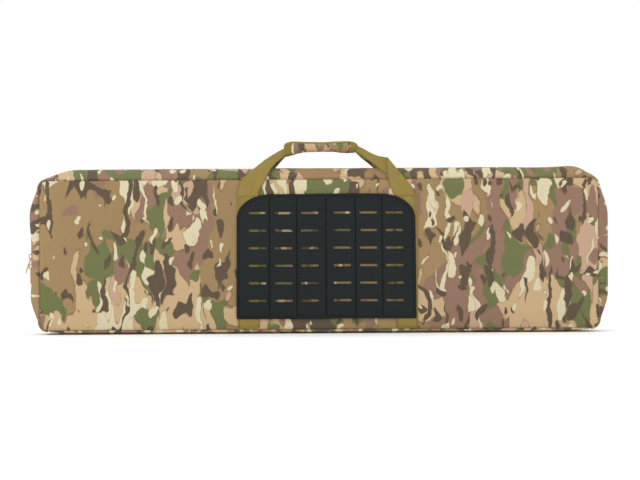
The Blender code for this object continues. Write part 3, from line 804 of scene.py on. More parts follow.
WALL_OUTER = [
    (0.0274, -0.0012, 0.00),
    (0.0287, -0.0003, 0.01),
    (0.0299, 0.0007, 0.03),
    (0.0305, 0.0016, 0.06),
    (0.0304, 0.0019, 0.11),
    (0.0299, 0.0019, 0.18),
    (0.0290, 0.0014, 0.27),
    (0.0277, 0.0009, 0.40),
    (0.0260, 0.0004, 0.56),
    (0.0238, 0.0001, 0.73),
    (0.0211, 0.0000, 0.88),
    (0.0180, 0.0000, 0.97),
    (0.0145, 0.0000, 1.00),
    (0.0115, 0.0000, 1.00),
    (0.0090, 0.0001, 1.00),
    (0.0074, 0.0002, 1.00),
    (0.0065, 0.0000, 1.00),
    (0.0062, -0.0006, 1.00),
]
WALL_INNER = [
    (0.0066, -0.0018, 1.00),
    (0.0115, -0.0022, 1.00),
    (0.0180, -0.0023, 0.95),
    (0.0238, -0.0024, 0.70),
    (0.0270, -0.0024, 0.40),
    (0.0282, -0.0020, 0.08),
]


SHOULDER = 0.0022  # how much an end wall swells beside the zip
SLIDERS_Z = 0.106


def wrinkle_wall(piece, side, seed, bottom=False):
    """Small gathers next to the seams and slow waves over the rest of a wall."""
    for vertex in piece.data.vertices:
        x, y, z = vertex.co
        along = z if abs(x) > PANEL_HALF - 0.001 else x
        near = math.exp(-((abs(y) - 0.0285) / 0.0035) ** 2)
        size = 0.00045 * near * wobble(along * 95.0, y * 20.0, seed)
        middle = (1.0 - near) * (1.0 - smooth_step(0.010 - abs(y), 0.0, 0.003))
        size += 0.0005 * middle * wobble(x * 22.0 + y * 25.0, z * 22.0 - y * 30.0, seed + 4.0)
        if abs(x) > PANEL_HALF - 0.001:
            out = Vector((math.copysign(1.0, x), 0.0, 0.0))
            up = smooth_step(z, ARC_LOW, ARC_LOW + 0.04) * (1.0 - smooth_step(z, ARC_HIGH - 0.04, ARC_HIGH))
            round_y = smooth_step(abs(y), 0.0112, 0.0165) * (1.0 - smooth_step(abs(y), 0.0215, 0.0285))
            beside_sliders = 1.0 if x > 0.0 else smooth_step(abs(z - SLIDERS_Z), 0.026, 0.060)
            size += SHOULDER * up * round_y * beside_sliders
        else:
            out = Vector((0.0, 0.0, math.copysign(1.0, z - (PANEL_LOW + PANEL_HIGH) / 2)))
        if bottom:
            size = -abs(size) if abs(y) < 0.020 else size
            size = min(size, 0.0002)
        vertex.co += out * size


def make_wall(side, body):
    word = "front" if side < 0 else "rear"
    stations = uneven(all_round(), 0.0009, 2.0)
    materials = [CAMO[f"{word}_wall"], LINING]
    piece = swept(f"{word}_wall", stations, WALL_OUTER + WALL_INNER, side, materials, len(WALL_OUTER))
    wrinkle_wall(piece, side, 7.0 if side < 0 else 19.0)
    nodes = [f"{word}_gusset_{part}" for part in ("left", "top", "right")]
    subdivide(piece)
    place(piece, body, "camo_fabric", *nodes)
    return piece


def make_bottom_wall():
    stations = straight((ARC_X - 0.0006, PANEL_LOW), (-ARC_X + 0.0006, PANEL_LOW), BOTTOM_BULGE, (0, -1))
    outer = [(y, r, s) for y, r, s in WALL_OUTER if y > 0.012]
    inner = [(y, r, s) for y, r, s in WALL_INNER if y > 0.008]
    across = outer + [(0.0, 0.0, 1.0)] + [(-y, r, s) for y, r, s in outer[::-1]]
    lining_from = len(across)
    across += [(-y, r, s) for y, r, s in inner[::-1]] + inner
    piece = swept("bottom_wall", stations, across, 1, [CAMO["bottom_wall"], LINING], lining_from)
    wrinkle_wall(piece, 1, 31.0, bottom=True)
    subdivide(piece)
    place(piece, "back_shell", "camo_fabric", "bottom_gusset")
    return piece


BINDING_SECTION = [
    (0.0224, -0.0030, 0.76),
    (0.0205, -0.0028, 0.86),
    (0.0180, -0.0027, 0.94),
    (0.0152, -0.0027, 0.98),
    (0.0145, -0.0034, 0.98),
    (0.0152, -0.0042, 0.98),
    (0.0180, -0.0043, 0.94),
    (0.0205, -0.0046, 0.86),
    (0.0224, -0.0052, 0.76),
]


def make_inner_binding(side, body):
    """The tape that binds the raw edges of the seam between a panel and its wall, on the inside."""
    word = "front" if side < 0 else "rear"
    stations = uneven(all_round(), 0.0009, 2.0)[1:-1]
    piece = swept(f"{word}_seam_binding", stations, BINDING_SECTION, side, [BINDING])
    return place(piece, body, "tan_webbing")


TAPE_SECTION = [
    (0.0064, -0.0007, 1.0),
    (0.0050, -0.0006, 1.0),
    (0.0034, -0.0006, 1.0),
    (0.0022, -0.0007, 1.0),
    (0.0021, -0.0010, 1.0),
    (0.0034, -0.0012, 1.0),
    (0.0050, -0.0012, 1.0),
    (0.0064, -0.0012, 1.0),
]
COIL_PITCH = 0.0020
COIL_WIRE = 0.00042


def chain_points(stations, step):
    """Points evenly spaced along the outer line of the chain, with their outward directions."""
    line = []
    for x, z, nx, nz, bulge in stations:
        line.append((Vector((x + nx * bulge, 0.0, z + nz * bulge)), Vector((nx, 0.0, nz))))
    points = []
    carried = 0.0
    for (a, na), (b, nb) in zip(line, line[1:]):
        length = (b - a).length
        while carried <= length:
            t = carried / length if length else 0.0
            points.append((a.lerp(b, t), na.lerp(nb, t).normalized()))
            carried += step
        carried -= length
    return points


def make_coil(side, body):
    """One half of the zip's nylon coil: a flattened spiral of wire along the chain."""
    word = "front" if side < 0 else "rear"
    turns = 8
    stations = uneven(over_the_top(CHAIN_START), 0.0009, 2.0)
    points = chain_points(stations, COIL_PITCH / turns)
    centre_y = 0.0013
    half_y = 0.00062
    half_out = 0.00042
    sides = 5
    vertices = []
    for i, (point, out) in enumerate(points):
        angle = 2.0 * math.pi * i / turns + (math.pi if side > 0 else 0.0)
        middle = point + out * (half_out * math.cos(angle) - 0.0009)
        middle.y = side * (centre_y - half_y * math.sin(angle) * 1.0)
        radial = out * math.cos(angle) + Vector((0.0, -side * math.sin(angle), 0.0))
        along = Vector((out.z, 0.0, -out.x))
        for k in range(sides):
            turn = 2.0 * math.pi * k / sides
            offset = radial * math.cos(turn) + along * math.sin(turn)
            vertices.append(middle + offset * COIL_WIRE)
    faces = []
    for i in range(len(points) - 1):
        for k in range(sides):
            a = i * sides + k
            b = i * sides + (k + 1) % sides
            faces.append((a, b, b + sides, a + sides))
    faces.append(tuple(range(sides)))
    last = (len(points) - 1) * sides
    faces.append(tuple(last + k for k in range(sides)))
    piece = add_mesh(f"{word}_coil", vertices, faces, [COIL])
    outward(piece)
    return place(piece, body, "zip_coil", f"{word}_zip_coil")


def make_zip_half(side, body):
    word = "front" if side < 0 else "rear"
    stations = uneven(all_round(), 0.0009, 2.0)
    tape = swept(f"{word}_tape", stations, TAPE_SECTION, side, [TAPE])
    place(tape, body, "zip_tape", f"{word}_zip_tape")
    make_coil(side, body)


def make_end_tab(side):
    word = "left" if side < 0 else "right"
    stations = [foot(-1)] + corner((-ARC_X, ARC_LOW), -math.pi / 2, BOTTOM_BULGE, SIDE_BULGE)
    stations += end_straight(-1, True, high=TAB_TOP)
    stations = uneven(stations, 0.0009, 2.0)
    if side > 0:
        stations = [(-x, z, -nx, nz, bulge) for x, z, nx, nz, bulge in stations[::-1]]
    section = [
        (-0.0019, -0.0004, 1.0),
        (-0.0010, -0.0001, 1.0),
        (0.0010, -0.0001, 1.0),
        (0.0019, -0.0004, 1.0),
        (0.0019, -0.0013, 1.0),
        (0.0, -0.0016, 1.0),
        (-0.0019, -0.0013, 1.0),
    ]
    tab = swept(f"end_tab_{word}", stations, section, 1, [WEBBING])
    place(tab, "back_shell", "tan_webbing", f"zip_end_tab_{word}")


# ---------------------------------------------------------------- stitches


class Stitches:
    """Rows of short thread capsules gathered into one piece."""

    def __init__(self, name, material):
        self.name = name
        self.material = material
        self.vertices = []
        self.faces = []

    def stitch(self, start, end, out, radius):
        along = (end - start).normalized()
        across = along.cross(out).normalized()
        up = across.cross(along).normalized()
        sides = 6
        rings = [(0.0, 0.45), (0.16, 0.95), (0.5, 1.05), (0.84, 0.95), (1.0, 0.45)]
        first = len(self.vertices)
        for t, size in rings:
            sink = -0.55 * radius * (2.0 * t - 1.0) ** 2
            centre = start.lerp(end, t) + up * sink
            for k in range(sides):
                turn = 2.0 * math.pi * k / sides
                self.vertices.append(centre + (across * math.cos(turn) + up * math.sin(turn)) * radius * size)
        for ring in range(len(rings) - 1):
            for k in range(sides):
                a = first + ring * sides + k
                b = first + ring * sides + (k + 1) % sides
                self.faces.append((a, b, b + sides, a + sides))
        self.faces.append(tuple(first + k for k in range(sides))[::-1])
        last = first + (len(rings) - 1) * sides
        self.faces.append(tuple(last + k for k in range(sides)))

    def row(self, points, outs, length=0.0030, gap=0.0012, radius=0.00040):
        """Stitches along a line of points, each with its outward direction."""
        lengths = [0.0]
        for a, b in zip(points, points[1:]):
            lengths.append(lengths[-1] + (b - a).length)
        total = lengths[-1]
        count = max(1, int((total - gap) / (length + gap)))
        pitch = total / count
        size = pitch - gap

        def at(distance):
            for i in range(len(points) - 1):
                if distance <= lengths[i + 1] or i == len(points) - 2:
                    span = lengths[i + 1] - lengths[i] or 1.0
                    t = min(max((distance - lengths[i]) / span, 0.0), 1.0)
                    return points[i].lerp(points[i + 1], t), outs[i].lerp(outs[i + 1], t).normalized()

        for i in range(count):
            begin = i * pitch + gap / 2
            a, out = at(begin)
            b, _ = at(begin + size)
            self.stitch(a, b, out, radius)

    def finish(self, body, slot):
        piece = add_mesh(self.name, self.vertices, self.faces, [self.material])
        return place(piece, body, slot)


def line_on(points, face, lift):
    """Points in space on a face for a line of (x, z) points, and their outward directions."""
    out = Vector((0.0, face.side, 0.0))
    spots = [Vector((x, face.side * (face.depth(x, z) + lift), z)) for x, z in points]
    return spots, [out] * len(spots)


def spread_line(a, b, step=0.004):
    count = max(1, round(math.hypot(b[0] - a[0], b[1] - a[1]) / step))
    return [(a[0] + (b[0] - a[0]) * i / count, a[1] + (b[1] - a[1]) * i / count) for i in range(count + 1)]


# ---------------------------------------------------------------- straps

ACROSS = [-1.0, -0.97, -0.9, -0.6, -0.3, 0.0, 0.3, 0.6, 0.9, 0.97, 1.0]


def edge_round(t):
    """Thickness share at a place across a strap, from -1 to 1."""
    return math.sqrt(max(0.05, 1.0 - max(0.0, (abs(t) - 0.94) / 0.06) ** 2))


def make_sewn_strap(name, face, centre, z_low, z_high, body, node):
    """A webbing strap that follows the face it is sewn on."""
    side = face.side
    rows = round((z_high - z_low) / 0.004)
    vertices = []
    places = []
    for j in range(rows + 1):
        z = z_low + (z_high - z_low) * j / rows
        loop = []
        for t in ACROSS:
            x = centre + t * STRAP_WIDTH / 2
            depth = face.depth(x, z)
            loop.append((x, depth, t))
        low_edge = 0.0006 * math.exp(-((z - z_low) / 0.003) ** 2)
        for x, depth, t in loop:
            groove = 0.00025 * math.exp(-((abs(t) - 0.82) / 0.05) ** 2)
            out = depth + 0.0001 + STRAP_THICKNESS * edge_round(t) - groove - low_edge
            vertices.append((x, side * out, z))
            places.append((z, t * STRAP_WIDTH / 2))
        for x, depth, t in loop[::-1]:
            vertices.append((x, side * (depth + 0.0001 - 0.0002), z))
            places.append((z, t * STRAP_WIDTH / 2))
    count = 2 * len(ACROSS)
    faces = []
    for j in range(rows):
        for k in range(count):
            a = j * count + k
            b = j * count + (k + 1) % count
            faces.append((a, b, b + count, a + count))
    faces.append(tuple(range(count)))
    faces.append(tuple(rows * count + k for k in range(count)))
    piece = add_mesh(name, vertices, faces, [WEBBING], places)
    outward(piece)
    sharpen(piece, 50)
    return place(piece, body, "tan_webbing", node)


def sew_straps(face, body, stitches, names):
    half = STRAP_WIDTH / 2
    top = STRAP_LEFT[1].z
    for centre, (piece_name, node) in zip((LEFT_STRAP_X, RIGHT_STRAP_X), names):
        make_sewn_strap(piece_name, face, centre, PANEL_LOW, top, body, node)
        lift = STRAP_THICKNESS + 0.0001
        for edge in (-1, 1):
            x = centre + edge * (half - 0.0028)
            points, outs = line_on(spread_line((x, PANEL_LOW + 0.004), (x, top - 0.001)), face, lift - 0.0001)
            stitches.row(points, outs)
        box_low = top - 0.030
        corners = [(-1, box_low), (1, box_low), (1, top - 0.002), (-1, top - 0.002)]
        corners = [(centre + s * (half - 0.005), z) for s, z in corners]
        lines = list(zip(corners, corners[1:] + corners[:1])) + [(corners[0], corners[2]), (corners[1], corners[3])]
        for a, b in lines:
            points, outs = line_on(spread_line(a, b), face, lift - 0.0001)
            stitches.row(points, outs)


# ---------------------------------------------------------------- attachment panel

FIELD_CORNER = (0.050, 0.035)
FIELD_SPREAD = 0.012  # how much wider the panel is sewn at its lower edge
SLOT_WIDTH = 0.0254
SLOT_HEIGHT = 0.0033
SLOT_PITCH_X = 0.0382
SLOT_PITCH_Z = 0.0254
SLOT_LOWEST = 0.0480
SLOT_MIDDLE = 0.0236
ROWS = 6
SEW_LINES = (-0.0825, -0.0426, 0.0, 0.0430, 0.0820)


def slot_boxes():
    """The slots as (left, right, low, high)."""
    middle = (FIELD_LOW.x + FIELD_HIGH.x) / 2
    boxes = []
    for column in range(3):
        for side in (-1, 1):
            x = middle + side * (SLOT_MIDDLE + column * SLOT_PITCH_X)
            for row in range(ROWS):
                z = SLOT_LOWEST + row * SLOT_PITCH_Z
                boxes.append((x - SLOT_WIDTH / 2, x + SLOT_WIDTH / 2, z - SLOT_HEIGHT / 2, z + SLOT_HEIGHT / 2))
    return boxes


def field_outline(inset=0.0, steps=14):
    """Outline of the attachment panel, from its lower left corner up and round to the lower right."""
    left, right = FIELD_LOW.x + inset, FIELD_HIGH.x - inset
    low, high = FIELD_LOW.z + inset, FIELD_HIGH.z - inset
    width, height = FIELD_CORNER[0] - inset, FIELD_CORNER[1] - inset
    points = [(left, low)]
    for middle, start in ((left + width, math.pi), (right - width, math.pi / 2)):
        for i in range(steps + 1):
            angle = start - math.pi / 2 * i / steps
            points.append((middle + width * math.cos(angle), high - height + height * math.sin(angle)))
    points.append((right, low))
    return points


def sewn_place(x, z):
    """Where a place of the flat laminate lies once it is sewn on, a little wider towards its lower edge."""
    middle = (FIELD_LOW.x + FIELD_HIGH.x) / 2
    down = (FIELD_HIGH.z - z) / (FIELD_HIGH.z - FIELD_LOW.z)
    return middle + (x - middle) * (1.0 - FIELD_SPREAD * (1.0 - down)), z + 0.0006 * wobble(x * 12.0, 5.0)


def make_field():
    """The laminate panel: cut from its outline and slots, then quilted along its sewn lines."""
    curve = bpy.data.curves.new("field_outline", "CURVE")
    curve.dimensions = "2D"
    curve.fill_mode = "BOTH"
    thickness = FIELD_HIGH.y - FIELD_LOW.y
    curve.extrude = thickness / 2
    outlines = [field_outline()]
    for left, right, low, high in slot_boxes():
        r = 0.0006
        outlines.append([
            (left, low + r), (left, high - r), (left + r, high), (right - r, high),
            (right, high - r), (right, low + r), (right - r, low), (left + r, low),
        ])
    for outline in outlines:
        spline = curve.splines.new("POLY")
        spline.points.add(len(outline) - 1)
        for point, (x, z) in zip(spline.points, outline):
            point.co = (x, z, 0.0, 1.0)
        spline.use_cyclic_u = True
    drawn = bpy.data.objects.new("field_drawn", curve)
    bpy.context.collection.objects.link(drawn)
    bpy.context.view_layer.update()
    graph = bpy.context.evaluated_depsgraph_get()
    mesh = bpy.data.meshes.new_from_object(drawn.evaluated_get(graph))
    bpy.data.objects.remove(drawn, do_unlink=True)
    work = bmesh.new()
    work.from_mesh(mesh)
    bmesh.ops.remove_doubles(work, verts=work.verts, dist=1e-6)
    step = 0.0065
    low_x, high_x = FIELD_LOW.x, FIELD_HIGH.x
    middle = (low_x + high_x) / 2
    across = spaced(low_x, high_x, step)
    across += [middle + line + d for line in SEW_LINES for d in (-0.0024, -0.0013, -0.0005, 0.0005, 0.0013, 0.0024)]
    cuts = [((x, 0.0, 0.0), (1.0, 0.0, 0.0)) for x in across]
    cuts += [((0.0, z, 0.0), (0.0, 1.0, 0.0)) for z in spaced(FIELD_LOW.z, FIELD_HIGH.z, step)]
    for point, normal in cuts:
        geometry = list(work.verts) + list(work.edges) + list(work.faces)
        bmesh.ops.bisect_plane(work, geom=geometry, plane_co=point, plane_no=normal, dist=1e-5)
    base = (FIELD_LOW.y + FIELD_HIGH.y) / 2
    for vert in work.verts:
        x, z, layer = vert.co
        out = -base + layer + field_lift(x, z)
        x, z = sewn_place(x, z)
        vert.co = Vector((x, -out, z))
    bmesh.ops.recalc_face_normals(work, faces=work.faces)
    for face in work.faces:
        face.smooth = True
        face.material_index = 0 if abs(face.normal.y) > 0.6 else 1
    work.to_mesh(mesh)
    work.free()
    mesh.materials.clear()
    mesh.materials.append(LAMINATE)
    mesh.materials.append(LAMINATE_EDGE)
    mesh.name = "attachment_sheet"
    piece = bpy.data.objects.new("attachment_sheet", mesh)
    bpy.context.collection.objects.link(piece)
    sharpen(piece, 40)
    return place(piece, "front_shell", "black_laminate", "attachment_panel")


def spaced(low, high, step):
    count = round((high - low) / step)
    return [low + (high - low) * i / count for i in range(1, count)]


def field_lift(x, z):
    """How far the laminate stands proud of its flat sheet at a place."""
    middle = (FIELD_LOW.x + FIELD_HIGH.x) / 2
    nearest = min(abs(x - middle - line) for line in SEW_LINES)
    rim = min(x - FIELD_LOW.x, FIELD_HIGH.x - x, z - FIELD_LOW.z, FIELD_HIGH.z - z)
    puff = 0.0007 * (1.0 - math.exp(-(nearest / 0.006) ** 2)) - 0.0006 * math.exp(-(nearest / 0.0015) ** 2)
    puff *= smooth_step(rim, 0.0, 0.008)
    sag = 0.0004 * wobble(x * 16.0, z * 16.0, 3.0)
    return puff + sag * smooth_step(rim, 0.0, 0.01) - 0.0003


def make_field_stitches():
    stitches = Stitches("field_stitches", THREAD_DARK)
    middle = (FIELD_LOW.x + FIELD_HIGH.x) / 2
    top_y = -FIELD_LOW.y
    out = Vector((0.0, -1.0, 0.0))

    def sew(points, **size):
        spots = []
        for x, z in points:
            depth = top_y + field_lift(x, z) + 0.00005
            x, z = sewn_place(x, z)
            spots.append(Vector((x, -depth, z)))
        stitches.row(spots, [out] * len(spots), **size)

    for line in SEW_LINES:
        x = middle + line
        sew(spread_line((x, FIELD_LOW.z + 0.0045), (x, FIELD_HIGH.z - 0.0045)), length=0.0034, gap=0.0012, radius=0.00075)
    border = field_outline(0.0035, 20)
    around = []
    for a, b in zip(border, border[1:] + border[:1]):
        around += spread_line(a, b)[:-1]
    around.append(border[0])
    sew(around, length=0.0030, gap=0.0013, radius=0.00036)
    stitches.finish("front_shell", "black_laminate")


def make_field_rim():
    """The melted edge that the cutting leaves round the laminate."""
    border = field_outline(0.0002, 20)
    line = []
    for a, b in zip(border, border[1:] + border[:1]):
        line += spread_line(a, b)[:-1]
    depth = (FIELD_LOW.y + FIELD_HIGH.y) / 2
    sides = 8
    vertices = []
    count = len(line)
    for i, (x, z) in enumerate(line):
        before, after = line[i - 1], line[(i + 1) % count]
        along = Vector((after[0] - before[0], 0.0, after[1] - before[1])).normalized()
        across = Vector((along.z, 0.0, -along.x))
        spot = sewn_place(x, z)
        centre = Vector((spot[0], depth - field_lift(x, z), spot[1]))
        for k in range(sides):
            angle = 2.0 * math.pi * k / sides
            vertices.append(centre + across * (0.0007 * math.cos(angle)) + Vector((0.0, 0.0008 * math.sin(angle), 0.0)))
    faces = []
    for i in range(count):
        for k in range(sides):
            a = i * sides + k
            b = i * sides + (k + 1) % sides
            shift = sides if i < count - 1 else -i * sides
            faces.append((a, b, b + shift, a + shift))
    piece = add_mesh("attachment_rim", vertices, faces, [LAMINATE_EDGE])
    outward(piece)
    place(piece, "front_shell", "black_laminate")


# ---------------------------------------------------------------- handle


def strap_route(side, fold_y):
    """Stations along a handle strap: two edges as (x, z), y, fold in two from 0 to 1, and turn in degrees.

    The strap leans in from its left sewn end, folds in two to pass through the grip, opens again, turns over
    along a diagonal fold and runs down flat to its right sewn end.
    """
    root = side * STRAP_Y
    low, high = HANDLE_ROOT_Z - 0.004, HANDLE_ROOT_Z + 0.002
    under = 0.0 if side < 0 else 0.003
    behind = side * (STRAP_Y - 0.0026)
    return [
        ((-0.1184, low), (-0.0866, low), root, 0.0, 0.0),
        ((-0.1184, high), (-0.0862, high), root, 0.0, 0.0),
        ((-0.1120, 0.2235), (-0.0790, 0.2195), root, 0.0, 0.0),
        ((-0.0935, 0.2400 - under), (-0.0725, 0.2330 - under), side * 0.0318, 0.08, 0.0),
        ((-0.0800, 0.2505 - under), (-0.0668, 0.2420 - under), side * 0.0250, 0.35, 0.0),
        ((-0.0665, 0.2597 - under), (-0.0590, 0.2505 - under), side * 0.0165, 0.70, 0.0),
        ((-0.0540, 0.2672 - under), (-0.0500, 0.2585 - under / 2), side * 0.0095, 0.95, 0.0),
        ((-0.0440, 0.2715), (-0.0420, 0.2632), fold_y, 1.0, 0.0),
        ((-0.0300, 0.2752), (-0.0300, 0.2670), fold_y, 1.0, 0.0),
        ((0.0000, 0.2762), (0.0000, 0.2680), fold_y, 1.0, 0.0),
        ((0.0400, 0.2762), (0.0400, 0.2682), fold_y, 1.0, 0.0),
        ((0.0520, 0.2745), (0.0510, 0.2668), fold_y, 1.0, 0.0),
        ((0.0640, 0.2692 - under), (0.0620, 0.2602 - under), side * 0.0100, 0.95, 0.0),
        ((0.0750, 0.2625 - under), (0.0725, 0.2520 - under), side * 0.0165, 0.75, 0.0),
        ((0.0850, 0.2578 - under), (0.0835, 0.2430 - under), side * 0.0225, 0.45, 0.0),
        ((0.0930, 0.2562 - under), (0.0930, 0.2345 - under), side * 0.0275, 0.15, 0.0),
        ((0.0975, 0.2553 - under), (0.1060, 0.2265 - under), behind, 0.0, 0.0),
        ((0.0990, 0.2545), (0.1375, 0.2070), behind, 0.0, 10.0),
        ((0.0996, 0.2550), (0.1383, 0.2074), side * (STRAP_Y - 0.0010), 0.0, 90.0),
        ((0.0990, 0.2543), (0.1380, 0.2064), side * (STRAP_Y + 0.0003), 0.0, 170.0),
        ((0.0985, 0.2440), (0.1386, 0.2055), side * (STRAP_Y + 0.0004), 0.0, 180.0),
        ((0.0998, 0.2280), (0.1392, 0.2045), side * (STRAP_Y + 0.0002), 0.0, 180.0),
        ((0.1040, 0.2130), (0.1398, 0.2030), root, 0.0, 180.0),
        ((0.1090, low), (0.1405, low), root, 0.0, 180.0),
    ]


def curve_through(points, per_span):
    """Catmull-Rom curve through rows of numbers."""
    out = []
    last = len(points) - 1
    for i in range(last):
        p0, p1, p2, p3 = points[max(i - 1, 0)], points[i], points[i + 1], points[min(i + 2, last)]
        for s in range(per_span):
            t = s / per_span
            row = []
            for a, b, c, d in zip(p0, p1, p2, p3):
                row.append(0.5 * (2 * b + (c - a) * t + (2 * a - 5 * b + 4 * c - d) * t * t + (3 * b - a - 3 * c + d) * t ** 3))
            out.append(row)
    out.append(list(points[last]))
    return out


def folded_section(width, fold):
    """Middle line of a strap's section as (across, outwards) pairs, from its lower edge over the fold and back."""
    half = STRAP_WIDTH / 2
    points = []
    for t in ACROSS:
        flat_a = t * width / 2
        if t <= 0.0:
            closed_a = -width / 2 + (t + 1.0) * width
            closed_n = -0.0009
        else:
            closed_a = width / 2 - t * width
            closed_n = 0.0009
        swing = math.sin(math.pi * min(fold, 1.0)) * half * 0.55 * max(0.0, t)
        across = flat_a + (closed_a - flat_a) * fold
        out = closed_n * fold + swing
        points.append((across, out))
    low = min(point[0] for point in points)
    stretch = width / (max(point[0] for point in points) - low)
    return [(-width / 2 + (across - low) * stretch, out) for across, out in points]


def make_handle_strap(name, side, fold_y, body, node):
    rows = [(*outer, *inner, y, fold, turn) for outer, inner, y, fold, turn in strap_route(side, fold_y)]
    rows = curve_through(rows, 5)
    outers = [Vector((r[0], r[4], r[1])) for r in rows]
    inners = [Vector((r[2], r[4], r[3])) for r in rows]
    middles = [(a + b) / 2 for a, b in zip(outers, inners)]
    vertices = []
    places = []
    travelled = 0.0
    for i, row in enumerate(rows):
        if i:
            travelled += (middles[i] - middles[i - 1]).length
        across = (outers[i] - inners[i])
        width = across.length
        across.normalize()
        turn = math.radians(min(max(row[6], 0.0), 180.0))
        level = Vector((across.z, 0.0, -across.x))
        inward = Vector((0.0, -side, 0.0)) * math.cos(turn) + level * math.sin(turn)
        inward = (inward - across * inward.dot(across)).normalized()
        fold = min(max(row[5], 0.0), 1.0)
        section = folded_section(width, fold)
        thick = STRAP_THICKNESS * (1.0 - 0.25 * fold) / 2
        normals = []
        for k in range(len(section)):
            a = section[max(k - 1, 0)]
            b = section[min(k + 1, len(section) - 1)]
            tangent = Vector((b[0] - a[0], b[1] - a[1]))
            tangent = tangent.normalized() if tangent.length else Vector((1.0, 0.0))
            normals.append((-tangent.y, tangent.x))
        for sign in (1, -1):
            order = range(len(section)) if sign > 0 else range(len(section) - 1, -1, -1)
            for k in order:
                (a, n), (na, nn) = section[k], normals[k]
                size = thick * edge_round(ACROSS[k]) * sign
                vertices.append(middles[i] + across * (a + na * size) + inward * (n + nn * size))
                places.append((travelled, ACROSS[k] * STRAP_WIDTH / 2))
    count = 2 * len(ACROSS)
    faces = []
    for i in range(len(rows) - 1):
        for k in range(count):
            a = i * count + k
            b = i * count + (k + 1) % count
            faces.append((a, b, b + count, a + count))
    faces.append(tuple(range(count)))
    last = (len(rows) - 1) * count
    faces.append(tuple(last + k for k in range(count)))
    piece = add_mesh(name, vertices, faces, [WEBBING], places)
    outward(piece)
    sharpen(piece, 60)
    return place(piece, body, "tan_webbing", node)


GRIP_TOP_LINE = [
    (-0.0505, 0.2748), (-0.0470, 0.2785), (-0.0400, 0.2800), (-0.0100, 0.2791), (0.0080, 0.2787),
    (0.0260, 0.2797), (0.0445, 0.2800), (0.0520, 0.2790), (0.0555, 0.2772), (0.0583, 0.2735),
]
GRIP_LOW_LINE = [
    (-0.0505, 0.2592), (-0.0480, 0.2586), (-0.0395, 0.2601), (-0.0285, 0.2631), (-0.0210, 0.2646),
    (0.0030, 0.2654), (0.0210, 0.2652), (0.0355, 0.2634), (0.0445, 0.2631), (0.0520, 0.2640), (0.0583, 0.2668),
]
GRIP_FRONT_Y = -0.0084
GRIP_BACK_Y = 0.0075
GRIP_WALL = 0.0019


def grip_section(low, high, swell=0.0):
    """Section of the grip, a channel open to the back, as (y, z) pairs."""
    radius = min(0.0058, (high - low) * 0.40)
    front = GRIP_FRONT_Y - swell
    outer = [(GRIP_BACK_Y, low + 0.0005), (GRIP_BACK_Y - 0.0008, low)]
    outer += [(-0.001, low - 0.0001)]
    outer += [(front + radius + radius * math.cos(a), low + radius + radius * math.sin(a)) for a in turns(-90, -180, 7)]
    outer += [(front - 0.0002, (low + high) / 2)]
    outer += [(front + radius + radius * math.cos(a), high - radius + radius * math.sin(a)) for a in turns(180, 90, 7)]
    outer += [(-0.001, high + 0.0001)]
    outer += [(GRIP_BACK_Y - 0.0008, high), (GRIP_BACK_Y, high - 0.0005)]
    wall = GRIP_WALL
    inner_radius = radius - wall
    inner = [(GRIP_BACK_Y, high - wall + 0.0004), (GRIP_BACK_Y - 0.0008, high - wall)]
    inner += [
        (front + radius + inner_radius * math.cos(a), high - radius + inner_radius * math.sin(a))
        for a in turns(90, 180, 5)
    ]
    inner += [
        (front + radius + inner_radius * math.cos(a), low + radius + inner_radius * math.sin(a))
        for a in turns(180, 270, 5)
    ]
    inner += [(GRIP_BACK_Y - 0.0008, low + wall), (GRIP_BACK_Y, low + wall - 0.0004)]
    return outer + inner


def turns(start, end, steps):
    return [math.radians(start + (end - start) * i / steps) for i in range(steps + 1)]


def make_grip_length(name, left, right, material, slot, node, swell, seed):
    steps = max(4, round((right - left) / 0.0022))
    vertices = []
    places = []
    count = None
    for i in range(steps + 1):
        x = left + (right - left) * i / steps
        end = min(x - left, right - x)
        puff = swell * math.sqrt(max(0.0, 1.0 - (1.0 - min(end / 0.004, 1.0)) ** 2))
        low = table_value(GRIP_LOW_LINE, x) - puff
        high = table_value(GRIP_TOP_LINE, x) + puff * 0.4
        section = grip_section(low, high, puff)
        count = len(section)
        around = 0.0
        for k, (y, z) in enumerate(section):
            if k:
                around += math.hypot(y - section[k - 1][0], z - section[k - 1][1])
            bump = 0.00035 * wobble(x * 130.0, y * 160.0, z * 160.0 + seed)
            vertices.append((x, y - bump, z + bump * 0.6))
            places.append((x, around))
    faces = []
    for i in range(steps):
        for k in range(count):
            a = i * count + k
            b = i * count + (k + 1) % count
            faces.append((a, b, b + count, a + count))
    faces.append(tuple(range(count)))
    faces.append(tuple(steps * count + k for k in range(count)))
    piece = add_mesh(name, vertices, faces, [material], places)
    outward(piece)
    sharpen(piece, 55)
    place(piece, "front_handle", slot, node)
    return piece


def make_grip():
    left_join = GRIP_LEFT + BAND_LENGTH
    right_join = GRIP_RIGHT - BAND_LENGTH
    sleeve = make_grip_length(
        "grip_sleeve", left_join - 0.0015, right_join + 0.0015, CAMO["grip"], "camo_fabric", "grip_wrap", 0.0, 2.0)
    make_grip_length("grip_end_left", GRIP_LEFT, left_join, WEBBING, "tan_webbing", "grip_band_left", 0.0005, 5.0)
    make_grip_length("grip_end_right", right_join, GRIP_RIGHT, WEBBING, "tan_webbing", "grip_band_right", 0.0005, 9.0)
    make_grip_binding(left_join, right_join)


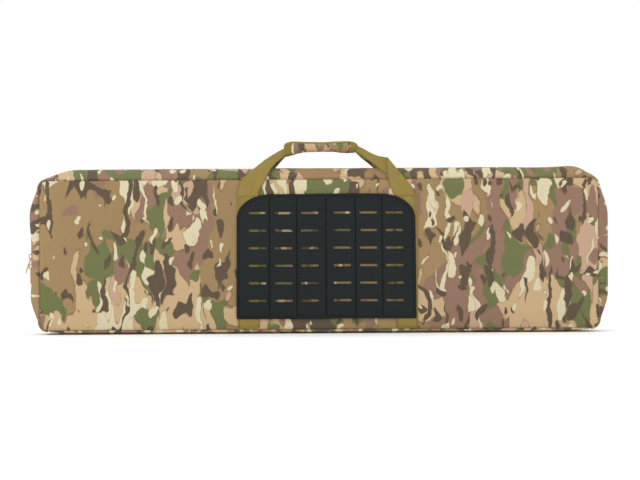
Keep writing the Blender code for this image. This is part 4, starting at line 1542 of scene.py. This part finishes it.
def make_grip_binding(left, right):
    """A thin tan binding along the top edge of the grip."""
    vertices = []
    steps = 60
    sides = 8
    for i in range(steps + 1):
        x = left + (right - left) * i / steps
        z = table_value(GRIP_TOP_LINE, x)
        for k in range(sides):
            a = 2.0 * math.pi * k / sides
            vertices.append((x, -0.0056 + 0.0022 * math.cos(a), z - 0.0015 + 0.0018 * math.sin(a)))
    faces = []
    for i in range(steps):
        for k in range(sides):
            a = i * sides + k
            b = i * sides + (k + 1) % sides
            faces.append((a, b, b + sides, a + sides))
    faces.append(tuple(range(sides)))
    faces.append(tuple(steps * sides + k for k in range(sides)))
    places = [(v[0], v[1]) for v in vertices]
    piece = add_mesh("grip_binding", vertices, faces, [WEBBING], places)
    outward(piece)
    place(piece, "front_handle", "tan_webbing")


# ---------------------------------------------------------------- linings and small pieces


def make_lining(name, side, body, node):
    grid = pad_grid(PANEL_HALF - 0.004, PANEL_LOW + 0.004, PANEL_HIGH - 0.004, PANEL_RADIUS - 0.004)

    def outer(inset):
        return 0.0224 - 0.0003 * smooth_step(inset, 0.0, 0.006)

    def inner(inset):
        return 0.0224 - 0.0012 * smooth_step(inset, 0.0, 0.010)

    piece, count = pad_piece(name, side, grid, outer, inner, [LINING])
    for vertex in piece.data.vertices:
        if vertex.index >= count:
            x, y, z = vertex.co
            vertex.co.y += side * 0.0003 * wobble(x * 20.0, z * 20.0, 8.0 + side)
    cloth_places(piece)
    place(piece, body, "lining_fabric", node)


def refinish(node, material):
    """Give a CAD node that stays visible a better material."""
    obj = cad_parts[node]
    obj.data.materials.clear()
    obj.data.materials.append(material)


def make_wall_stitches(side, body):
    """Two rows of topstitching beside the zip."""
    word = "front" if side < 0 else "rear"
    stitches = Stitches(f"{word}_wall_stitches", THREAD)
    stations = uneven(all_round(), 0.0009, 2.0)
    for y, lift in ((0.0081, 0.00025), (0.0106, 0.0001)):
        points = []
        outs = []
        for x, z, nx, nz, bulge in stations:
            out = Vector((nx, 0.0, nz))
            points.append(Vector((x, side * y, z)) + out * (bulge + lift))
            outs.append(out)
        stitches.row(points, outs)
    stitches.finish(body, "camo_fabric")


# ---------------------------------------------------------------- stage


def make_stage():
    bpy.ops.mesh.primitive_plane_add(size=14.0, location=(0.0, 0.0, 0.0))
    floor = bpy.context.object
    floor.name = "stage_floor"
    material = plain_finish("stage_floor", (0.99, 0.99, 0.99, 1.0), (0.97, 0.97, 0.97, 1.0), 0.8, 3.0, 0.0001)
    floor.data.materials.append(material)
    world = bpy.context.scene.world or bpy.data.worlds.new("World")
    bpy.context.scene.world = world
    world.use_nodes = True
    background = world.node_tree.nodes["Background"]
    background.inputs["Color"].default_value = (1.0, 1.0, 1.0, 1.0)
    background.inputs["Strength"].default_value = 1.0
    lights = [
        ("key", (-1.7, -1.9, 2.1), 1.2, 24.0),
        ("fill", (2.1, -2.0, 0.9), 1.6, 5.0),
        ("top", (0.2, 0.5, 2.4), 2.0, 12.0),
    ]
    for name, location, size, power in lights:
        data = bpy.data.lights.new(name, "AREA")
        data.shape = "SQUARE"
        data.size = size
        data.energy = power
        lamp = bpy.data.objects.new(name, data)
        lamp.location = location
        lamp.rotation_euler = (Vector((0.0, 0.0, 0.12)) - Vector(location)).to_track_quat("-Z", "Y").to_euler()
        bpy.context.collection.objects.link(lamp)
    bpy.context.scene.view_settings.view_transform = "Standard"


def make_camera():
    data = bpy.data.cameras.new("camera")
    data.lens = 100.0
    data.sensor_width = 36.0
    data.dof.use_dof = False
    camera = bpy.data.objects.new("camera", data)
    camera.location = (0.0017, -2.610, 0.1356)
    camera.rotation_euler = (math.pi / 2, math.radians(0.35), 0.0)
    bpy.context.collection.objects.link(camera)
    bpy.context.scene.camera = camera


def build():
    make_camera()
    make_stage()
    front = make_panel("front_panel", -1, "front_shell", "front_cover", "front_foam")
    back = make_panel("back_panel", 1, "back_shell", "back_cover", "back_foam")
    make_lining("front_inner", -1, "front_shell", "front_lining")
    make_lining("back_inner", 1, "back_shell", "back_lining")
    make_wall(-1, "front_shell")
    make_wall(1, "back_shell")
    make_bottom_wall()
    make_inner_binding(-1, "front_shell")
    make_inner_binding(1, "back_shell")
    make_zip_half(-1, "front_shell")
    make_zip_half(1, "back_shell")
    make_end_tab(-1)
    make_end_tab(1)
    make_wall_stitches(-1, "front_shell")
    make_wall_stitches(1, "back_shell")
    front_face = Face(front, -1)
    back_face = Face(back, 1)
    stitches = Stitches("front_strap_stitches", THREAD)
    names = [(f"front_webbing_{place_}", f"front_strap_{place_}") for place_ in ("left", "right")]
    sew_straps(front_face, "front_shell", stitches, names)
    stitches.finish("front_shell", "tan_webbing")
    stitches = Stitches("back_strap_stitches", THREAD)
    names = [(f"back_webbing_{place_}", f"back_strap_{place_}") for place_ in ("left", "right")]
    sew_straps(back_face, "back_shell", stitches, names)
    stitches.finish("back_shell", "tan_webbing")
    make_field()
    make_field_stitches()
    make_field_rim()
    make_handle_strap("front_carry_strap", -1, -0.0042, "front_handle", "front_handle_strap")
    make_handle_strap("rear_carry_strap", 1, 0.0059, "rear_handle", "rear_handle_strap")
    make_grip()
    for node in ("upper_slider", "upper_pull", "lower_slider", "lower_pull", "zip_stop_left", "zip_stop_right"):
        refinish(node, BRASS)
    refinish("grip_padding", PADDING)


build()
